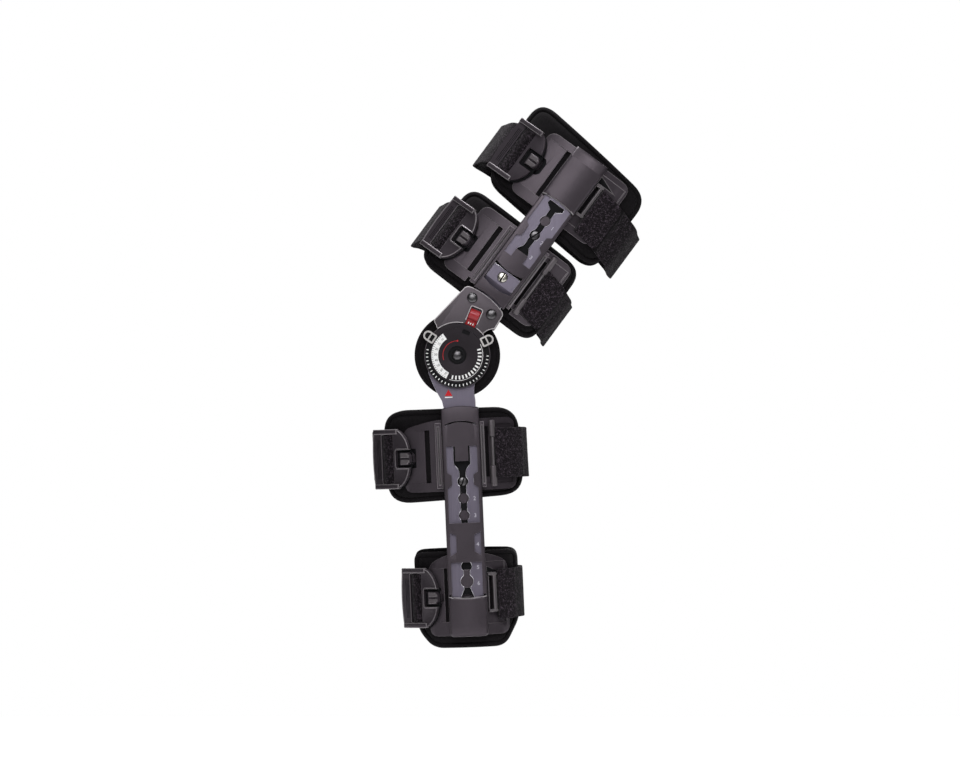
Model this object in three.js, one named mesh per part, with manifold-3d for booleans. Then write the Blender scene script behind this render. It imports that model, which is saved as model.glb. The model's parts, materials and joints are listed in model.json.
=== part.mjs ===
// Hinged knee brace: two uprights with a range-of-motion hinge at the knee, telescoping thigh and calf
// bars, and four strapped cuffs. Millimetres, +Z up, origin at the centre of the knee on the hinge axis.
//
// Everything is drawn in side view: u runs to the back of the leg, v runs up and w runs out of the
// outer (lateral) side. One quarter turn of the whole group about X lays (u, v, w) on (X, Z, -Y).

import * as THREE from "three";
import { mergeVertices } from "three/addons/utils/BufferGeometryUtils.js";
import Module from "manifold-3d";

const wasm = await Module();
wasm.setup();

// Driving dimensions
const THIGH_SLOPE_DEG = 36.5; // thigh bar from the vertical, with the knee bent as worn
const CALF_SLOPE_DEG = 2.5; // calf bar from the vertical, its foot end set back
const GAP = 0.3; // between pieces that touch
const PAD = 8; // foam of a cuff pad
const SHELL = 3; // moulded wall of a cuff shell
const STRAP = 2.5; // thickness of the loop strap
const STRAP_WIDTH = 50;
const CALF_FACE = 72; // outer face of the calf shells, from the middle of the knee
const THIGH_FACE = 79; // the same for the thigh shells

// Layers of an upright, out from the face of its shells
const FLOOR = [GAP, 2.3];
const PLATE = [2.8, 5.2];
const COVER = [5.5, 7.7];
const CHANNEL_HALF = 19;
const PLATE_HALF = 16;
const RAIL = 2.5;
const SLEEVE = 10.5; // top of a cuff's sleeve over its plate

// Layers of the hinge, out from the middle of the knee
const HINGE = {
  padInner: 54,
  padOuter: CALF_FACE + FLOOR[1],
  bar: [CALF_FACE + PLATE[0], CALF_FACE + PLATE[1]],
  base: [77.5, 81.5],
  head: 83.2,
  dialRim: [81.8, 83],
  dialTop: 84.2,
};
const HINGE_RADIUS = 32.5;
const DIAL_RADIUS = 31;
const DIAL_STEP_RADIUS = 26.3;
const DIAL_HOLLOW_RADIUS = 8;
const DIAL_WINDOW = { place: [-6.5, 23.5], turn: 14, half: [4, 2] };
const CONDYLE_RADIUS = 43;
const PIVOT_BORE = 4.4;
const RIVET_BORE = 3.3;
const SCREW_BORE = 2.4;
const THROUGH = [60, 100]; // along w, past every layer of the hinge
const OUT = 150; // along w, clear of everything on the outer side

// Cuffs, in side view: edges along u, heights along v. The leg inside each is an oval of half depth and
// half width about its centre. Corners run round each outline from its lower front.
const CUFFS = [
  {
    name: "thigh_upper", bar: -9, face: THIGH_FACE,
    leg: { centre: -11, depth: 85.5, width: 68 },
    pad: { corners: [[-86, 161], [60, 150], [61, 241], [-86, 257]], radius: 20 },
    shell: { corners: [[-58, 165], [41, 165], [41, 238], [-58, 238]], radius: 10 },
    sleeve: { bottom: 181, top: 240 },
    frontSlot: { front: -33.5, rear: -28.5, bottom: 176, top: 230 },
    rearSlot: { front: 11, rear: 15, bottom: 187, top: 219 },
    buckle: { middle: -69.5, height: 201 },
    strap: { middle: 196, dip: { front: 7, rear: 16 } },
  },
  {
    name: "thigh_lower", bar: -9, face: THIGH_FACE,
    leg: { centre: -19, depth: 79.5, width: 68 },
    pad: { corners: [[-91, 55], [52, 53], [51, 143], [-91, 146]], radius: 18 },
    shell: { corners: [[-68, 64], [43, 64], [43, 139], [-68, 139]], radius: 10 },
    frontSlot: { front: -44, rear: -38.5, bottom: 75, top: 129 },
    rearSlot: { front: 14.5, rear: 18.5, bottom: 84, top: 118 },
    buckle: { middle: -78, height: 98 },
    strap: { middle: 101, dip: { front: 15, rear: 17 } },
    passage: { bar: { across: [-26, 8], top: 84 }, head: { across: [-38, 17], top: 70 }, depth: 74 },
  },
  {
    name: "calf_upper", bar: 0, face: CALF_FACE,
    leg: { centre: -12, depth: 71.5, width: 61 },
    pad: { corners: [[-76, -147], [62, -142], [58, -54], [-78, -53]], radius: 18 },
    shell: { corners: [[-58, -136], [54, -136], [54, -64], [-58, -64]], radius: 10 },
    frontSlot: { front: -37, rear: -31.5, bottom: -127, top: -74 },
    rearSlot: { front: 24.5, rear: 28, bottom: -113, top: -86 },
    buckle: { middle: -69.5, height: -101.5 },
    strap: { middle: -98.5, dip: { front: 0, rear: 2 } },
  },
  {
    name: "calf_lower", bar: 0, face: CALF_FACE,
    leg: { centre: -6, depth: 54, width: 61 },
    pad: {
      corners: [[-52, -274], [-37, -293], [36, -294], [52, -266], [52, -197], [-53, -196]], radius: 10,
    },
    shell: { corners: [[-39, -281], [41, -281], [41, -199], [-39, -199]], radius: 10 },
    sleeve: { bottom: -282, top: -241 },
    frontSlot: { front: -23.5, rear: -19.5, bottom: -267, top: -213 },
    rearSlot: { front: 21.5, rear: 25, bottom: -256, top: -222 },
    buckle: { middle: -47, height: -242 },
    strap: { middle: -241, dip: { front: 0, rear: 0 } },
  },
];
const FACET_DEG = 8; // every wall round the leg is made of flats of this turn

// Buckle, in its own plane: across from its middle (front is minus), and up
const BUCKLE = {
  front: -23, bow: 5, nose: 25.5, shoulder: 5, half: 30, thick: 4, lift: 0.4,
  window: [-11.5, 3.5], windowHalf: 25.5, latch: [7, 27], latchHalf: 9, hook: [16, 26], hookHalf: 6.5,
};

const RIVETS = [[-22, 55], [3, 53]];
const BAR_SCREW = [-10, 89.5];
const STOPS = { front: 182.5, rear: 63 }; // degrees round the dial
const STOP = {
  from: 27, round: 35, half: 5, claw: [33.2, 37.5], clawHalf: 4,
  slot: [29.5, 32.5], dimple: [34.5, 37], eyeHalf: 2.5,
};
const SLIDER = { angle: 103.5, width: 10.6, slot: [24.5, 51], knob: [38, 49], tail: [31, 49] };

// Telescoping bars: ends along v. A plate's slot has round seats at a pitch, and wider ends.
const SLOT = { radius: 5.2, neck: 3 };
const THIGH_BAR = { middle: -9, tongue: 44, joggle: [68.5, 82], end: 97 };
const THIGH_CHANNEL = { bottom: 67, floor: 85, top: 180 };
const THIGH_PLATE = {
  bottom: 100, top: 236, first: 142.5, pitch: 17.5, count: 2,
  foot: [{ v: 104, half: 6.5 }, { v: 122.5, half: 6.5 }, { v: 128, half: SLOT.neck }],
  head: [{ v: 172.5, half: SLOT.neck }, { v: 176.5, half: 9 }, { v: 180.5, half: 9 }],
};
const CALF_BAR = { middle: 0, end: -66, eye: 29.4 };
const CALF_CHANNEL = { bottom: -240, top: -51 };
const CALF_PLATE = {
  bottom: -276, top: -69, first: -228.5, pitch: 17, count: 7,
  foot: [{ v: -241, half: 8 }, { v: -234.5, half: SLOT.neck }],
  head: [{ v: -117, half: SLOT.neck }, { v: -107, half: 8 }, { v: -76, half: 8 }],
};
const CALF_BUTTON = -126.5;
const BUTTON_RADIUS = 4.8;

// Outlines in side view: each row runs on to a point, straight or by way of a control point
const HEAD_EDGE = [
  { to: [-40, 14] }, { to: [-34.5, 59] }, { via: [-33.5, 62.5], to: [-29, 63.5] },
  { via: [-10, 68], to: [10, 62] }, { via: [13.5, 60], to: [13.5, 57] }, { to: [14.5, 43] },
  { via: [8.5, 39], to: [8, 31] }, { to: [0, 0] }, { to: [-31, 9] },
];
const CALF_BAR_EDGE = [
  { to: [-16, CALF_BAR.end] }, { to: [16, CALF_BAR.end] }, { to: [16, -46] },
  { via: [13.5, -33], to: [19, -22] }, { to: [0, 0] }, { to: [-30, -15.5] },
  { via: [-25.5, -31], to: [-17.5, -45] }, { to: [-16, -52] },
];
const BAR_WINDOW = [
  { to: [-25.5, 79] }, { via: [-9, 73], to: [7.5, 79] },
  { to: [7.5, 100.5] }, { via: [-9, 95], to: [-25.5, 100.5] },
];
const BAND_GROOVE = [
  { to: [-16.5, -69.5] }, { via: [0, -62.5], to: [16.5, -69.5] },
  { to: [16.5, -70.7] }, { via: [0, -63.7], to: [-16.5, -70.7] },
];
const SIDE_LIGHT = [{ to: [9, -180] }, { to: [9, -197] }, { to: [15.5, -201] }, { to: [15.5, -177] }];
const FOOT_WINDOW_TOP = -207.5;
const THIGH_WINDOW = { from: 112, to: THIGH_CHANNEL.top + 5, tab: { length: 9, half: 7 }, lips: [135, 147] };
const CALF_WINDOW = { from: -168, to: -91, tab: { length: -15, half: 6.5 }, lips: [-130, -120] };
const LIP = { depth: 4.5, lead: 3 }; // of the lugs along a window's sides

const deg = THREE.MathUtils.degToRad;
const lerp = THREE.MathUtils.lerp;

// Materials
const paint = (color, roughness, metalness = 0) =>
  new THREE.MeshStandardMaterial({ color, roughness, metalness });
const PLASTIC = paint(0x4a464a, 0.55);
const HEAD = paint(0x47444a, 0.45, 0.3);
const DIAL = paint(0x37343a, 0.45);
const METAL = paint(0x6f6a7c, 0.4, 0.7);
const STEEL = paint(0x77757a, 0.3, 0.9);
const FOAM = paint(0x121113, 0.95);
const WEBBING = paint(0x1d1a1c, 0.95);
const RED = paint(0xc9382f, 0.4);
const CLIP = paint(0xb4b3b2, 0.45);

// Solids from three.js geometry, and back again
function toSolid(geometry) {
  const bare = geometry.clone();
  for (const name of Object.keys(bare.attributes)) if (name !== "position") bare.deleteAttribute(name);
  const merged = mergeVertices(bare, 1e-4);
  return new wasm.Manifold(new wasm.Mesh({
    numProp: 3,
    vertProperties: merged.getAttribute("position").array,
    triVerts: new Uint32Array(merged.index.array),
  }));
}

function toGeometry(solid) {
  const { vertProperties, triVerts } = solid.getMesh();
  return new THREE.BufferGeometry()
    .setAttribute("position", new THREE.BufferAttribute(vertProperties, 3))
    .setIndex(new THREE.BufferAttribute(triVerts, 1));
}

// The solid seen in a mirror that lies in the middle of the knee
function mirrored(solid) {
  const geometry = toGeometry(solid).scale(1, 1, -1);
  const index = geometry.index.array;
  for (let i = 0; i < index.length; i += 3) [index[i], index[i + 1]] = [index[i + 1], index[i]];
  return toSolid(geometry);
}

const moved = (solid, matrix) => toSolid(toGeometry(solid).applyMatrix4(matrix));
const union = (first, ...others) => others.reduce((sum, other) => sum.add(other), first);

// Plain shapes in side view
const block = (u0, u1, v0, v1, w0, w1) =>
  toSolid(new THREE.BoxGeometry(u1 - u0, v1 - v0, w1 - w0)
    .translate((u0 + u1) / 2, (v0 + v1) / 2, (w0 + w1) / 2));

const slab = (shape, w0, w1, curveSegments = 6) =>
  toSolid(new THREE.ExtrudeGeometry(shape, { depth: w1 - w0, bevelEnabled: false, curveSegments })
    .translate(0, 0, w0));

const drum = (u, v, radius, w0, w1, sides = 24) =>
  toSolid(new THREE.CylinderGeometry(radius, radius, w1 - w0, sides)
    .rotateX(Math.PI / 2).translate(u, v, (w0 + w1) / 2));

// A turned piece about a line along w: profile rows are [radius, w]
const turned = (u, v, profile, sides = 10) =>
  toSolid(new THREE.LatheGeometry(profile.map(([r, w]) => new THREE.Vector2(r, w)), sides)
    .rotateX(Math.PI / 2).translate(u, v, 0));

const rivet = (u, v, shank, foot, seat, radius, height) =>
  turned(u, v, [
    [0, foot], [shank, foot], [shank, seat], [radius, seat],
    [radius * 0.9, seat + height * 0.5], [radius * 0.5, seat + height * 0.9], [0, seat + height],
  ]);

const outline = (points) => new THREE.Shape(points.map(([u, v]) => new THREE.Vector2(u, v)));

function drawn([first, ...rows]) {
  const shape = new THREE.Shape().moveTo(...first.to);
  for (const { via, to } of rows)
    if (via) shape.quadraticCurveTo(...via, ...to);
    else shape.lineTo(...to);
  return shape.closePath();
}

// A closed wall between an outer and an inner grid of points
function wall(rows, columns, outer, inner) {
  const points = [];
  const faces = [];
  for (const surface of [outer, inner])
    for (let i = 0; i < rows; i++)
      for (let j = 0; j < columns; j++) points.push(...surface(i, j));
  const at = (layer, i, j) => (layer * rows + i) * columns + j;
  const quad = (a, b, c, d) => faces.push(a, b, c, a, c, d);
  const [top, end] = [rows - 1, columns - 1];
  for (let i = 0; i < top; i++) {
    for (let j = 0; j < end; j++) {
      quad(at(0, i, j), at(0, i, j + 1), at(0, i + 1, j + 1), at(0, i + 1, j));
      quad(at(1, i, j), at(1, i + 1, j), at(1, i + 1, j + 1), at(1, i, j + 1));
    }
    quad(at(0, i + 1, 0), at(1, i + 1, 0), at(1, i, 0), at(0, i, 0));
    quad(at(0, i, end), at(1, i, end), at(1, i + 1, end), at(0, i + 1, end));
  }
  for (let j = 0; j < end; j++) {
    quad(at(0, 0, j), at(1, 0, j), at(1, 0, j + 1), at(0, 0, j + 1));
    quad(at(0, top, j + 1), at(1, top, j + 1), at(1, top, j), at(0, top, j));
  }
  return toSolid(new THREE.BufferGeometry()
    .setAttribute("position", new THREE.Float32BufferAttribute(points, 3)).setIndex(faces));
}

// The oval of the leg
const legAngle = (leg, u, off) => Math.asin((u - leg.centre) / (leg.depth + off));
const legPoint = (leg, angle, v, off) => [
  leg.centre + (leg.depth + off) * Math.sin(angle),
  v,
  (leg.width + off) * Math.cos(angle),
];
const legDegrees = (leg, u, off) => THREE.MathUtils.radToDeg(legAngle(leg, u, off));

// A wall over the outer half of the leg, between two offsets from it
function legWall(leg, [inner, outer], v0, v1) {
  const columns = 2 * Math.floor(80 / FACET_DEG) + 1;
  const point = (off) => (i, j) =>
    legPoint(leg, deg((j - (columns - 1) / 2) * FACET_DEG), i ? v1 : v0, off);
  return wall(2, columns, point(outer), point(inner));
}

// An outline with every corner rounded
function roundedOutline({ corners, radius }) {
  const points = corners.map(([u, v]) => new THREE.Vector2(u, v));
  const shape = new THREE.Shape();
  points.forEach((corner, k) => {
    const before = points.at(k - 1).clone().sub(corner).setLength(radius).add(corner);
    const after = points[(k + 1) % points.length].clone().sub(corner).setLength(radius).add(corner);
    if (k) shape.lineTo(before.x, before.y);
    else shape.moveTo(before.x, before.y);
    shape.quadraticCurveTo(corner.x, corner.y, after.x, after.y);
  });
  return shape.closePath();
}

// A patch of wall on the leg with the outline seen from the side
function legPatch(leg, edge, offsets) {
  const heights = edge.corners.map(([, v]) => v);
  return legWall(leg, offsets, Math.min(...heights) - 1, Math.max(...heights) + 1)
    .intersect(slab(roundedOutline(edge), 0, OUT, 3));
}

// Cuff pieces
function cuffPad({ leg, pad, passage }) {
  const solid = legPatch(leg, pad, [0, PAD]);
  return passage ? solid.subtract(barPassage(passage)) : solid;
}

// Room for the joggled bar and the top of the hinge head at the foot of a cuff
const barPassage = ({ bar, head, depth }) => union(
  block(...bar.across, 0, bar.top, depth, OUT), block(...head.across, 0, head.top, depth, OUT));
const edgesOf = ({ corners }) => ({
  front: Math.min(...corners.map(([u]) => u)), rear: Math.max(...corners.map(([u]) => u)),
  bottom: Math.min(...corners.map(([, v]) => v)), top: Math.max(...corners.map(([, v]) => v)),
});

// A block that stands on the shell, with its foot cut to the curve of the pad below
function saddle({ leg }, u0, u1, v0, v1, top) {
  const under = legWall(leg, [-40, PAD + GAP], v0 - 1, v1 + 1);
  return block(u0, u1, v0, v1, leg.width - 4, top).subtract(under);
}

function cuffShell(cuff, outerSide) {
  const { leg, bar, face, sleeve, frontSlot, rearSlot } = cuff;
  const shell = edgesOf(cuff.shell);
  const [left, right] = [bar - CHANNEL_HALF, bar + CHANNEL_HALF];
  const patch = legPatch(leg, cuff.shell, [PAD + GAP, PAD + SHELL]);
  let solid = patch.add(saddle(cuff, left, right, shell.bottom + 2, shell.top - 2, face));
  if (sleeve) {
    const fit = PLATE_HALF + GAP;
    const mouth = sleeve.bottom < 0 ? sleeve.top + 1 : sleeve.bottom - 1;
    const end = sleeve.bottom < 0 ? CALF_PLATE.bottom - GAP : THIGH_PLATE.top + GAP;
    const pocket = block(bar - fit, bar + fit, Math.min(mouth, end), Math.max(mouth, end),
      face + PLATE[0] - GAP, face + PLATE[1] + GAP);
    const body = saddle(cuff, left, right, sleeve.bottom, sleeve.top, face + SLEEVE);
    solid = solid.add(body).subtract(pocket);
  } else {
    for (const [u0, u1] of [[left - 7, left - GAP], [right + GAP, right + 5]])
      solid = solid.add(saddle(cuff, u0, u1, shell.bottom + 3, shell.top - 3, face + 3));
  }
  const post = rearSlot.rear;
  const postTop = legPoint(leg, legAngle(leg, post + 2, PAD + SHELL), 0, PAD + SHELL)[2] + 3;
  solid = solid.add(saddle(cuff, post, post + 3, rearSlot.bottom - 2, rearSlot.top + 2, postTop));
  for (const slot of [frontSlot, rearSlot])
    solid = solid.subtract(block(slot.front, slot.rear, slot.bottom, slot.top, 0, OUT));
  if (cuff.passage) solid = solid.subtract(barPassage(cuff.passage));
  return outerSide ? solid.add(latch(cuff)) : solid;
}

// The buckle lies on the tangent of the shell at its middle
function bucklePlace({ leg, buckle }) {
  const off = PAD + SHELL + BUCKLE.lift;
  const angle = legAngle(leg, buckle.middle, off);
  const slope = Math.atan2((leg.width + off) * Math.sin(angle), (leg.depth + off) * Math.cos(angle));
  const spot = legPoint(leg, angle, buckle.height, off);
  return new THREE.Matrix4().makeRotationY(slope).setPosition(...spot);
}

// The catch on the shell that the buckle hooks over
function latch(cuff) {
  const spot = (x) => new THREE.Vector3(x, 0, BUCKLE.thick).applyMatrix4(bucklePlace(cuff));
  const [near, far] = [spot(BUCKLE.hook[0]), spot(BUCKLE.hook[1])];
  const { height } = cuff.buckle;
  return saddle(cuff, near.x, far.x, height - BUCKLE.hookHalf, height + BUCKLE.hookHalf, far.z);
}

// D-shaped buckle: straight grip at the front, round nose at the back, strap window and latch window
function cuffBuckle(cuff) {
  const { front, bow, nose, shoulder, half, thick, window, windowHalf, latch: gap, latchHalf } = BUCKLE;
  const shape = new THREE.Shape().moveTo(front, -half).lineTo(shoulder, -half)
    .absellipse(shoulder, 0, nose - shoulder, half, -Math.PI / 2, Math.PI / 2, false)
    .lineTo(front, half).quadraticCurveTo(front - bow, 0, front, -half);
  const opening = ([from, to], reach) => block(from, to, -reach, reach, -1, thick + 1);
  const plate = slab(shape, 0, thick, 12)
    .subtract(opening(window, windowHalf))
    .subtract(opening(gap, latchHalf));
  return moved(plate, bucklePlace(cuff));
}

// Height of a strap above the leg: over a shell, over a pad, then down onto the leg and up again
const smooth = (from, to, x) => THREE.MathUtils.smoothstep(x, from, to);
function strapOffset(away, { shellEdge, padEdge }, onShell) {
  const step = onShell ? SHELL * (1 - smooth(shellEdge + 3, shellEdge + 9, away)) : 0;
  return lerp(PAD + 2 * GAP + step, 1.2, smooth(padEdge + 3, padEdge + 24, away));
}

// A strap round one half of the leg, from its outer end to its inner end, in degrees from straight out.
// The back strap is double as far as its fold.
function cuffStrap(cuff, sign, startDeg, endDeg, foldDeg) {
  const { leg, strap } = cuff;
  const edge = sign < 0 ? "front" : "rear";
  const edges = {
    shellEdge: Math.abs(legDegrees(leg, edgesOf(cuff.shell)[edge], PAD)),
    padEdge: Math.abs(legDegrees(leg, edgesOf(cuff.pad)[edge], PAD)),
  };
  const stations = [startDeg, foldDeg, foldDeg + 0.6, endDeg];
  for (let turn = FACET_DEG; turn < 180; turn += FACET_DEG)
    if (turn > startDeg + 1 && turn < endDeg - 1 && Math.abs(turn - foldDeg) > 2) stations.push(turn);
  stations.sort((one, other) => sign * (one - other));
  const point = (face) => (i, j) => {
    const turn = stations[j];
    const away = Math.min(turn, 180 - turn);
    const layers = sign > 0 && turn <= foldDeg ? 2 : 1;
    const off = strapOffset(away, edges, sign > 0 || turn > 90) + face * layers * STRAP;
    const v = strap.middle - strap.dip[edge] * Math.sin(deg(turn)) ** 2 + (i - 0.5) * STRAP_WIDTH;
    return legPoint(leg, deg(sign * turn), v, off);
  };
  return wall(2, stations.length, point(1), point(0));
}

function cuffPieces(cuff) {
  const { leg, rearSlot } = cuff;
  const shell = edgesOf(cuff.shell);
  const frontStart = Math.abs(legDegrees(leg, shell.front - 3, PAD));
  const frontEnd = 180 - Math.abs(legDegrees(leg, shell.front + 14, PAD + SHELL));
  const rearStart = legDegrees(leg, rearSlot.rear + 3.6, PAD + SHELL);
  const rearFold = legDegrees(leg, shell.rear + 5, PAD + SHELL + STRAP);
  return [
    ["pad_lateral", cuffPad(cuff), FOAM],
    ["pad_medial", mirrored(cuffPad(cuff)), FOAM],
    ["shell_lateral", cuffShell(cuff, true), PLASTIC],
    ["shell_medial", mirrored(cuffShell(cuff, false)), PLASTIC],
    ["buckle", cuffBuckle(cuff), PLASTIC],
    ["front_strap", cuffStrap(cuff, -1, frontStart, frontEnd, frontStart + 5), WEBBING],
    ["rear_strap", cuffStrap(cuff, 1, rearStart, 180 - rearStart, rearFold), WEBBING],
  ];
}

// The scalloped adjusting slot: a row of round seats joined by necks, with wider ends
function scallopedSlot(middle, { foot, head, first, pitch, count }) {
  const { radius, neck } = SLOT;
  const path = new THREE.Path();
  const open = Math.asin(neck / radius);
  const seat = (k) => first + k * pitch;
  path.moveTo(middle + foot[0].half, foot[0].v);
  for (const { v, half } of foot.slice(1)) path.lineTo(middle + half, v);
  for (let k = 0; k < count; k++)
    path.absarc(middle, seat(k), radius, -Math.PI / 2 + open, Math.PI / 2 - open, false);
  for (const { v, half } of head) path.lineTo(middle + half, v);
  for (const { v, half } of head.toReversed()) path.lineTo(middle - half, v);
  for (let k = count - 1; k >= 0; k--)
    path.absarc(middle, seat(k), radius, Math.PI / 2 + open, (3 * Math.PI) / 2 - open, false);
  for (const { v, half } of foot.toReversed()) path.lineTo(middle - half, v);
  return path;
}

const rectangle = (u0, u1, v0, v1) => outline([[u0, v0], [u1, v0], [u1, v1], [u0, v1]]);
const layer = (face, [w0, w1]) => [face + w0, face + w1];

function slottedPlate(middle, face, plate) {
  const shape = rectangle(middle - PLATE_HALF, middle + PLATE_HALF, plate.bottom, plate.top);
  shape.holes.push(scallopedSlot(middle, plate));
  return slab(shape, ...layer(face, PLATE), 5);
}

const plainPlate = (middle, face, { bottom, top }) =>
  block(middle - PLATE_HALF, middle + PLATE_HALF, bottom, top, ...layer(face, PLATE));

// Window in a channel's cover, with a finger tab at one end and a pair of lips along its sides
function tabWindow(middle, { from, to, tab, lips }) {
  const half = PLATE_HALF - 0.5;
  const [near, far] = [tab.length > 0 ? from : to, tab.length > 0 ? to : from];
  const tip = near + tab.length;
  const lip = (v0, v1, side) => [
    [middle + side * half, v0 - LIP.lead],
    [middle + side * (half - LIP.depth), v0],
    [middle + side * (half - LIP.depth), v1],
    [middle + side * half, v1 + LIP.lead],
  ];
  const rising = far > near;
  const right = rising ? lip(lips[0], lips[1], 1) : lip(lips[0], lips[1], 1).reverse();
  const left = rising ? lip(lips[0], lips[1], -1).reverse() : lip(lips[0], lips[1], -1);
  return outline([
    [middle + tab.half, tip], [middle + tab.half, near], [middle + half, near], ...right,
    [middle + half, far], [middle - half, far], ...left, [middle - half, near],
    [middle - tab.half, near], [middle - tab.half, tip],
  ]);
}

// A channel: floor, two rails, and a cover pierced by windows
function channel(middle, face, { bottom, top, floor }, windows) {
  const [left, right] = [middle - CHANNEL_HALF, middle + CHANNEL_HALF];
  const floorFoot = floor ?? bottom;
  let cover = slab(rectangle(left, right, bottom, top), ...layer(face, COVER));
  for (const window of windows) cover = cover.subtract(slab(window, face, OUT));
  const rails = [[left, left + RAIL], [right - RAIL, right]].map(([u0, u1]) =>
    block(u0, u1, bottom, top, face + FLOOR[0], face + COVER[1]));
  return union(cover, block(left, right, floorFoot, top, ...layer(face, FLOOR)), ...rails);
}

// Seat of a lock button, down through a channel's floor
const buttonSeat = (middle, v, face) => drum(middle, v, SLOT.radius, face - 1, face + PLATE[0]);

function thighChannel() {
  const { middle } = THIGH_BAR;
  return channel(middle, THIGH_FACE, THIGH_CHANNEL, [drawn(BAR_WINDOW), tabWindow(middle, THIGH_WINDOW)])
    .subtract(buttonSeat(middle, THIGH_PLATE.first, THIGH_FACE));
}

function calfChannel() {
  const { middle } = CALF_BAR;
  const half = PLATE_HALF - 0.5;
  const otherLight = SIDE_LIGHT.map(({ to: [u, v] }) => ({ to: [-u, v] }));
  const foot = rectangle(middle - half, middle + half, CALF_CHANNEL.bottom - 5, FOOT_WINDOW_TOP);
  const windows = [BAND_GROOVE, SIDE_LIGHT, otherLight].map(drawn);
  return channel(middle, CALF_FACE, CALF_CHANNEL, [...windows, tabWindow(middle, CALF_WINDOW), foot])
    .subtract(buttonSeat(middle, CALF_BUTTON, CALF_FACE));
}

// The same channels without windows, for the inner side
const plainChannel = (middle, face, ends) => channel(middle, face, ends, []);

// Lock button seen through the slot, standing in the floor of its channel
const lockButton = (middle, v, face) => drum(middle, v, BUTTON_RADIUS, face + 0.5, face + 2.5, 14);

// Thigh bar: a tongue under the hinge head, a joggle, then flat along its channel
function thighBar() {
  const { middle, tongue, joggle, end } = THIGH_BAR;
  const [low, high] = layer(THIGH_FACE, PLATE);
  const [tongueLow, tongueHigh] = HINGE.bar;
  const profile = outline([
    [tongue, tongueLow], [joggle[0], tongueLow], [joggle[1], low], [end, low],
    [end, high], [joggle[1] - 1, high], [joggle[0] - 1, tongueHigh], [tongue, tongueHigh],
  ]);
  const bar = new THREE.ExtrudeGeometry(profile, { depth: 2 * PLATE_HALF, bevelEnabled: false });
  // The profile is drawn in (v, w): turn it into place and centre it on the bar
  const [u, v, w] = [[1, 0, 0], [0, 1, 0], [0, 0, 1]].map((axis) => new THREE.Vector3(...axis));
  bar.applyMatrix4(new THREE.Matrix4().makeBasis(v, w, u).setPosition(middle - PLATE_HALF, 0, 0));
  const bores = RIVETS.map(([u, v]) => drum(u, v, RIVET_BORE, ...THROUGH, 10));
  bores.push(drum(...BAR_SCREW, SCREW_BORE, ...THROUGH, 10));
  return bores.reduce((solid, bore) => solid.subtract(bore), toSolid(bar));
}

// Hinge
// A block along a radius of the dial, from one distance to another
function radialBlock([from, to], width, w0, w1, angle = SLIDER.angle) {
  const turn = new THREE.Matrix4().makeRotationZ(deg(angle));
  return moved(block(from, to, -width / 2, width / 2, w0, w1), turn);
}

function hingeHead() {
  const { base, head } = HINGE;
  const bored = RIVETS.map(([u, v]) => drum(u, v, RIVET_BORE, ...THROUGH, 12));
  const body = drum(0, 0, HINGE_RADIUS, ...base, 48).add(slab(drawn(HEAD_EDGE), base[0], head, 5));
  return [
    drum(0, 0, DIAL_RADIUS + 0.4, base[1], OUT, 48),
    drum(0, 0, PIVOT_BORE, ...THROUGH, 16),
    radialBlock(SLIDER.slot, SLIDER.width + 0.8, base[0] + 1.7, OUT),
    ...bored,
  ].reduce((solid, cut) => solid.subtract(cut), body);
}

function hingeDial() {
  const { dialRim, dialTop } = HINGE;
  const { place: [u, v], turn, half } = DIAL_WINDOW;
  const windowPlace = new THREE.Matrix4().makeRotationZ(deg(turn)).setPosition(u, v, 0);
  const window = moved(block(-half[0], half[0], -half[1], half[1], ...THROUGH), windowPlace);
  return drum(0, 0, DIAL_RADIUS, ...dialRim, 48)
    .add(drum(0, 0, DIAL_STEP_RADIUS, dialRim[0], dialTop, 40))
    .subtract(drum(0, 0, DIAL_HOLLOW_RADIUS, dialRim[1] - 0.2, OUT, 24))
    .subtract(drum(0, 0, PIVOT_BORE, ...THROUGH, 16))
    .subtract(window);
}

// The pivot rivet that holds the bar, the head and the dial together
const hingePivot = (seat) => rivet(0, 0, 4, HINGE.bar[0] - 0.2, seat, 5.2, 2.2);

const lockSlider = () =>
  radialBlock(SLIDER.tail, SLIDER.width, HINGE.base[0] + 2, HINGE.base[0] + 3.6)
    .add(radialBlock(SLIDER.knob, SLIDER.width, HINGE.base[0] + 2, HINGE.head + 3.6));

// A stop clip that rides round the rim of the dial
function stopClip(angle) {
  const { from, round, half, claw, clawHalf, slot, dimple, eyeHalf } = STOP;
  const top = HINGE.dialTop + 2;
  const plate = new THREE.Shape().moveTo(from, -half).lineTo(round, -half)
    .absarc(round, 0, half, -Math.PI / 2, Math.PI / 2, false).lineTo(from, half).closePath();
  const clip = slab(plate, HINGE.dialRim[1] + GAP, top, 5)
    .add(block(...claw, -clawHalf, clawHalf, HINGE.base[0] + 1.5, top))
    .subtract(block(...slot, -eyeHalf, eyeHalf, ...THROUGH))
    .subtract(block(...dimple, -eyeHalf, eyeHalf, top - 1.2, OUT));
  return moved(clip, new THREE.Matrix4().makeRotationZ(deg(angle)));
}

// Calf bar: a round eye on the pivot, flared into the flat bar
const calfBar = () => slab(drawn(CALF_BAR_EDGE), ...HINGE.bar, 10)
  .add(drum(0, 0, CALF_BAR.eye, ...HINGE.bar, 40))
  .subtract(drum(0, 0, PIVOT_BORE, ...THROUGH, 16));

function condylePad() {
  const { padInner, padOuter } = HINGE;
  const r = CONDYLE_RADIUS;
  return turned(0, 0, [
    [0, padInner],
    [r - 9, padInner],
    [r - 2.5, padInner + 3],
    [r, padInner + 8],
    [r, padOuter - 2],
    [0, padOuter],
  ], 28);
}

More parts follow.
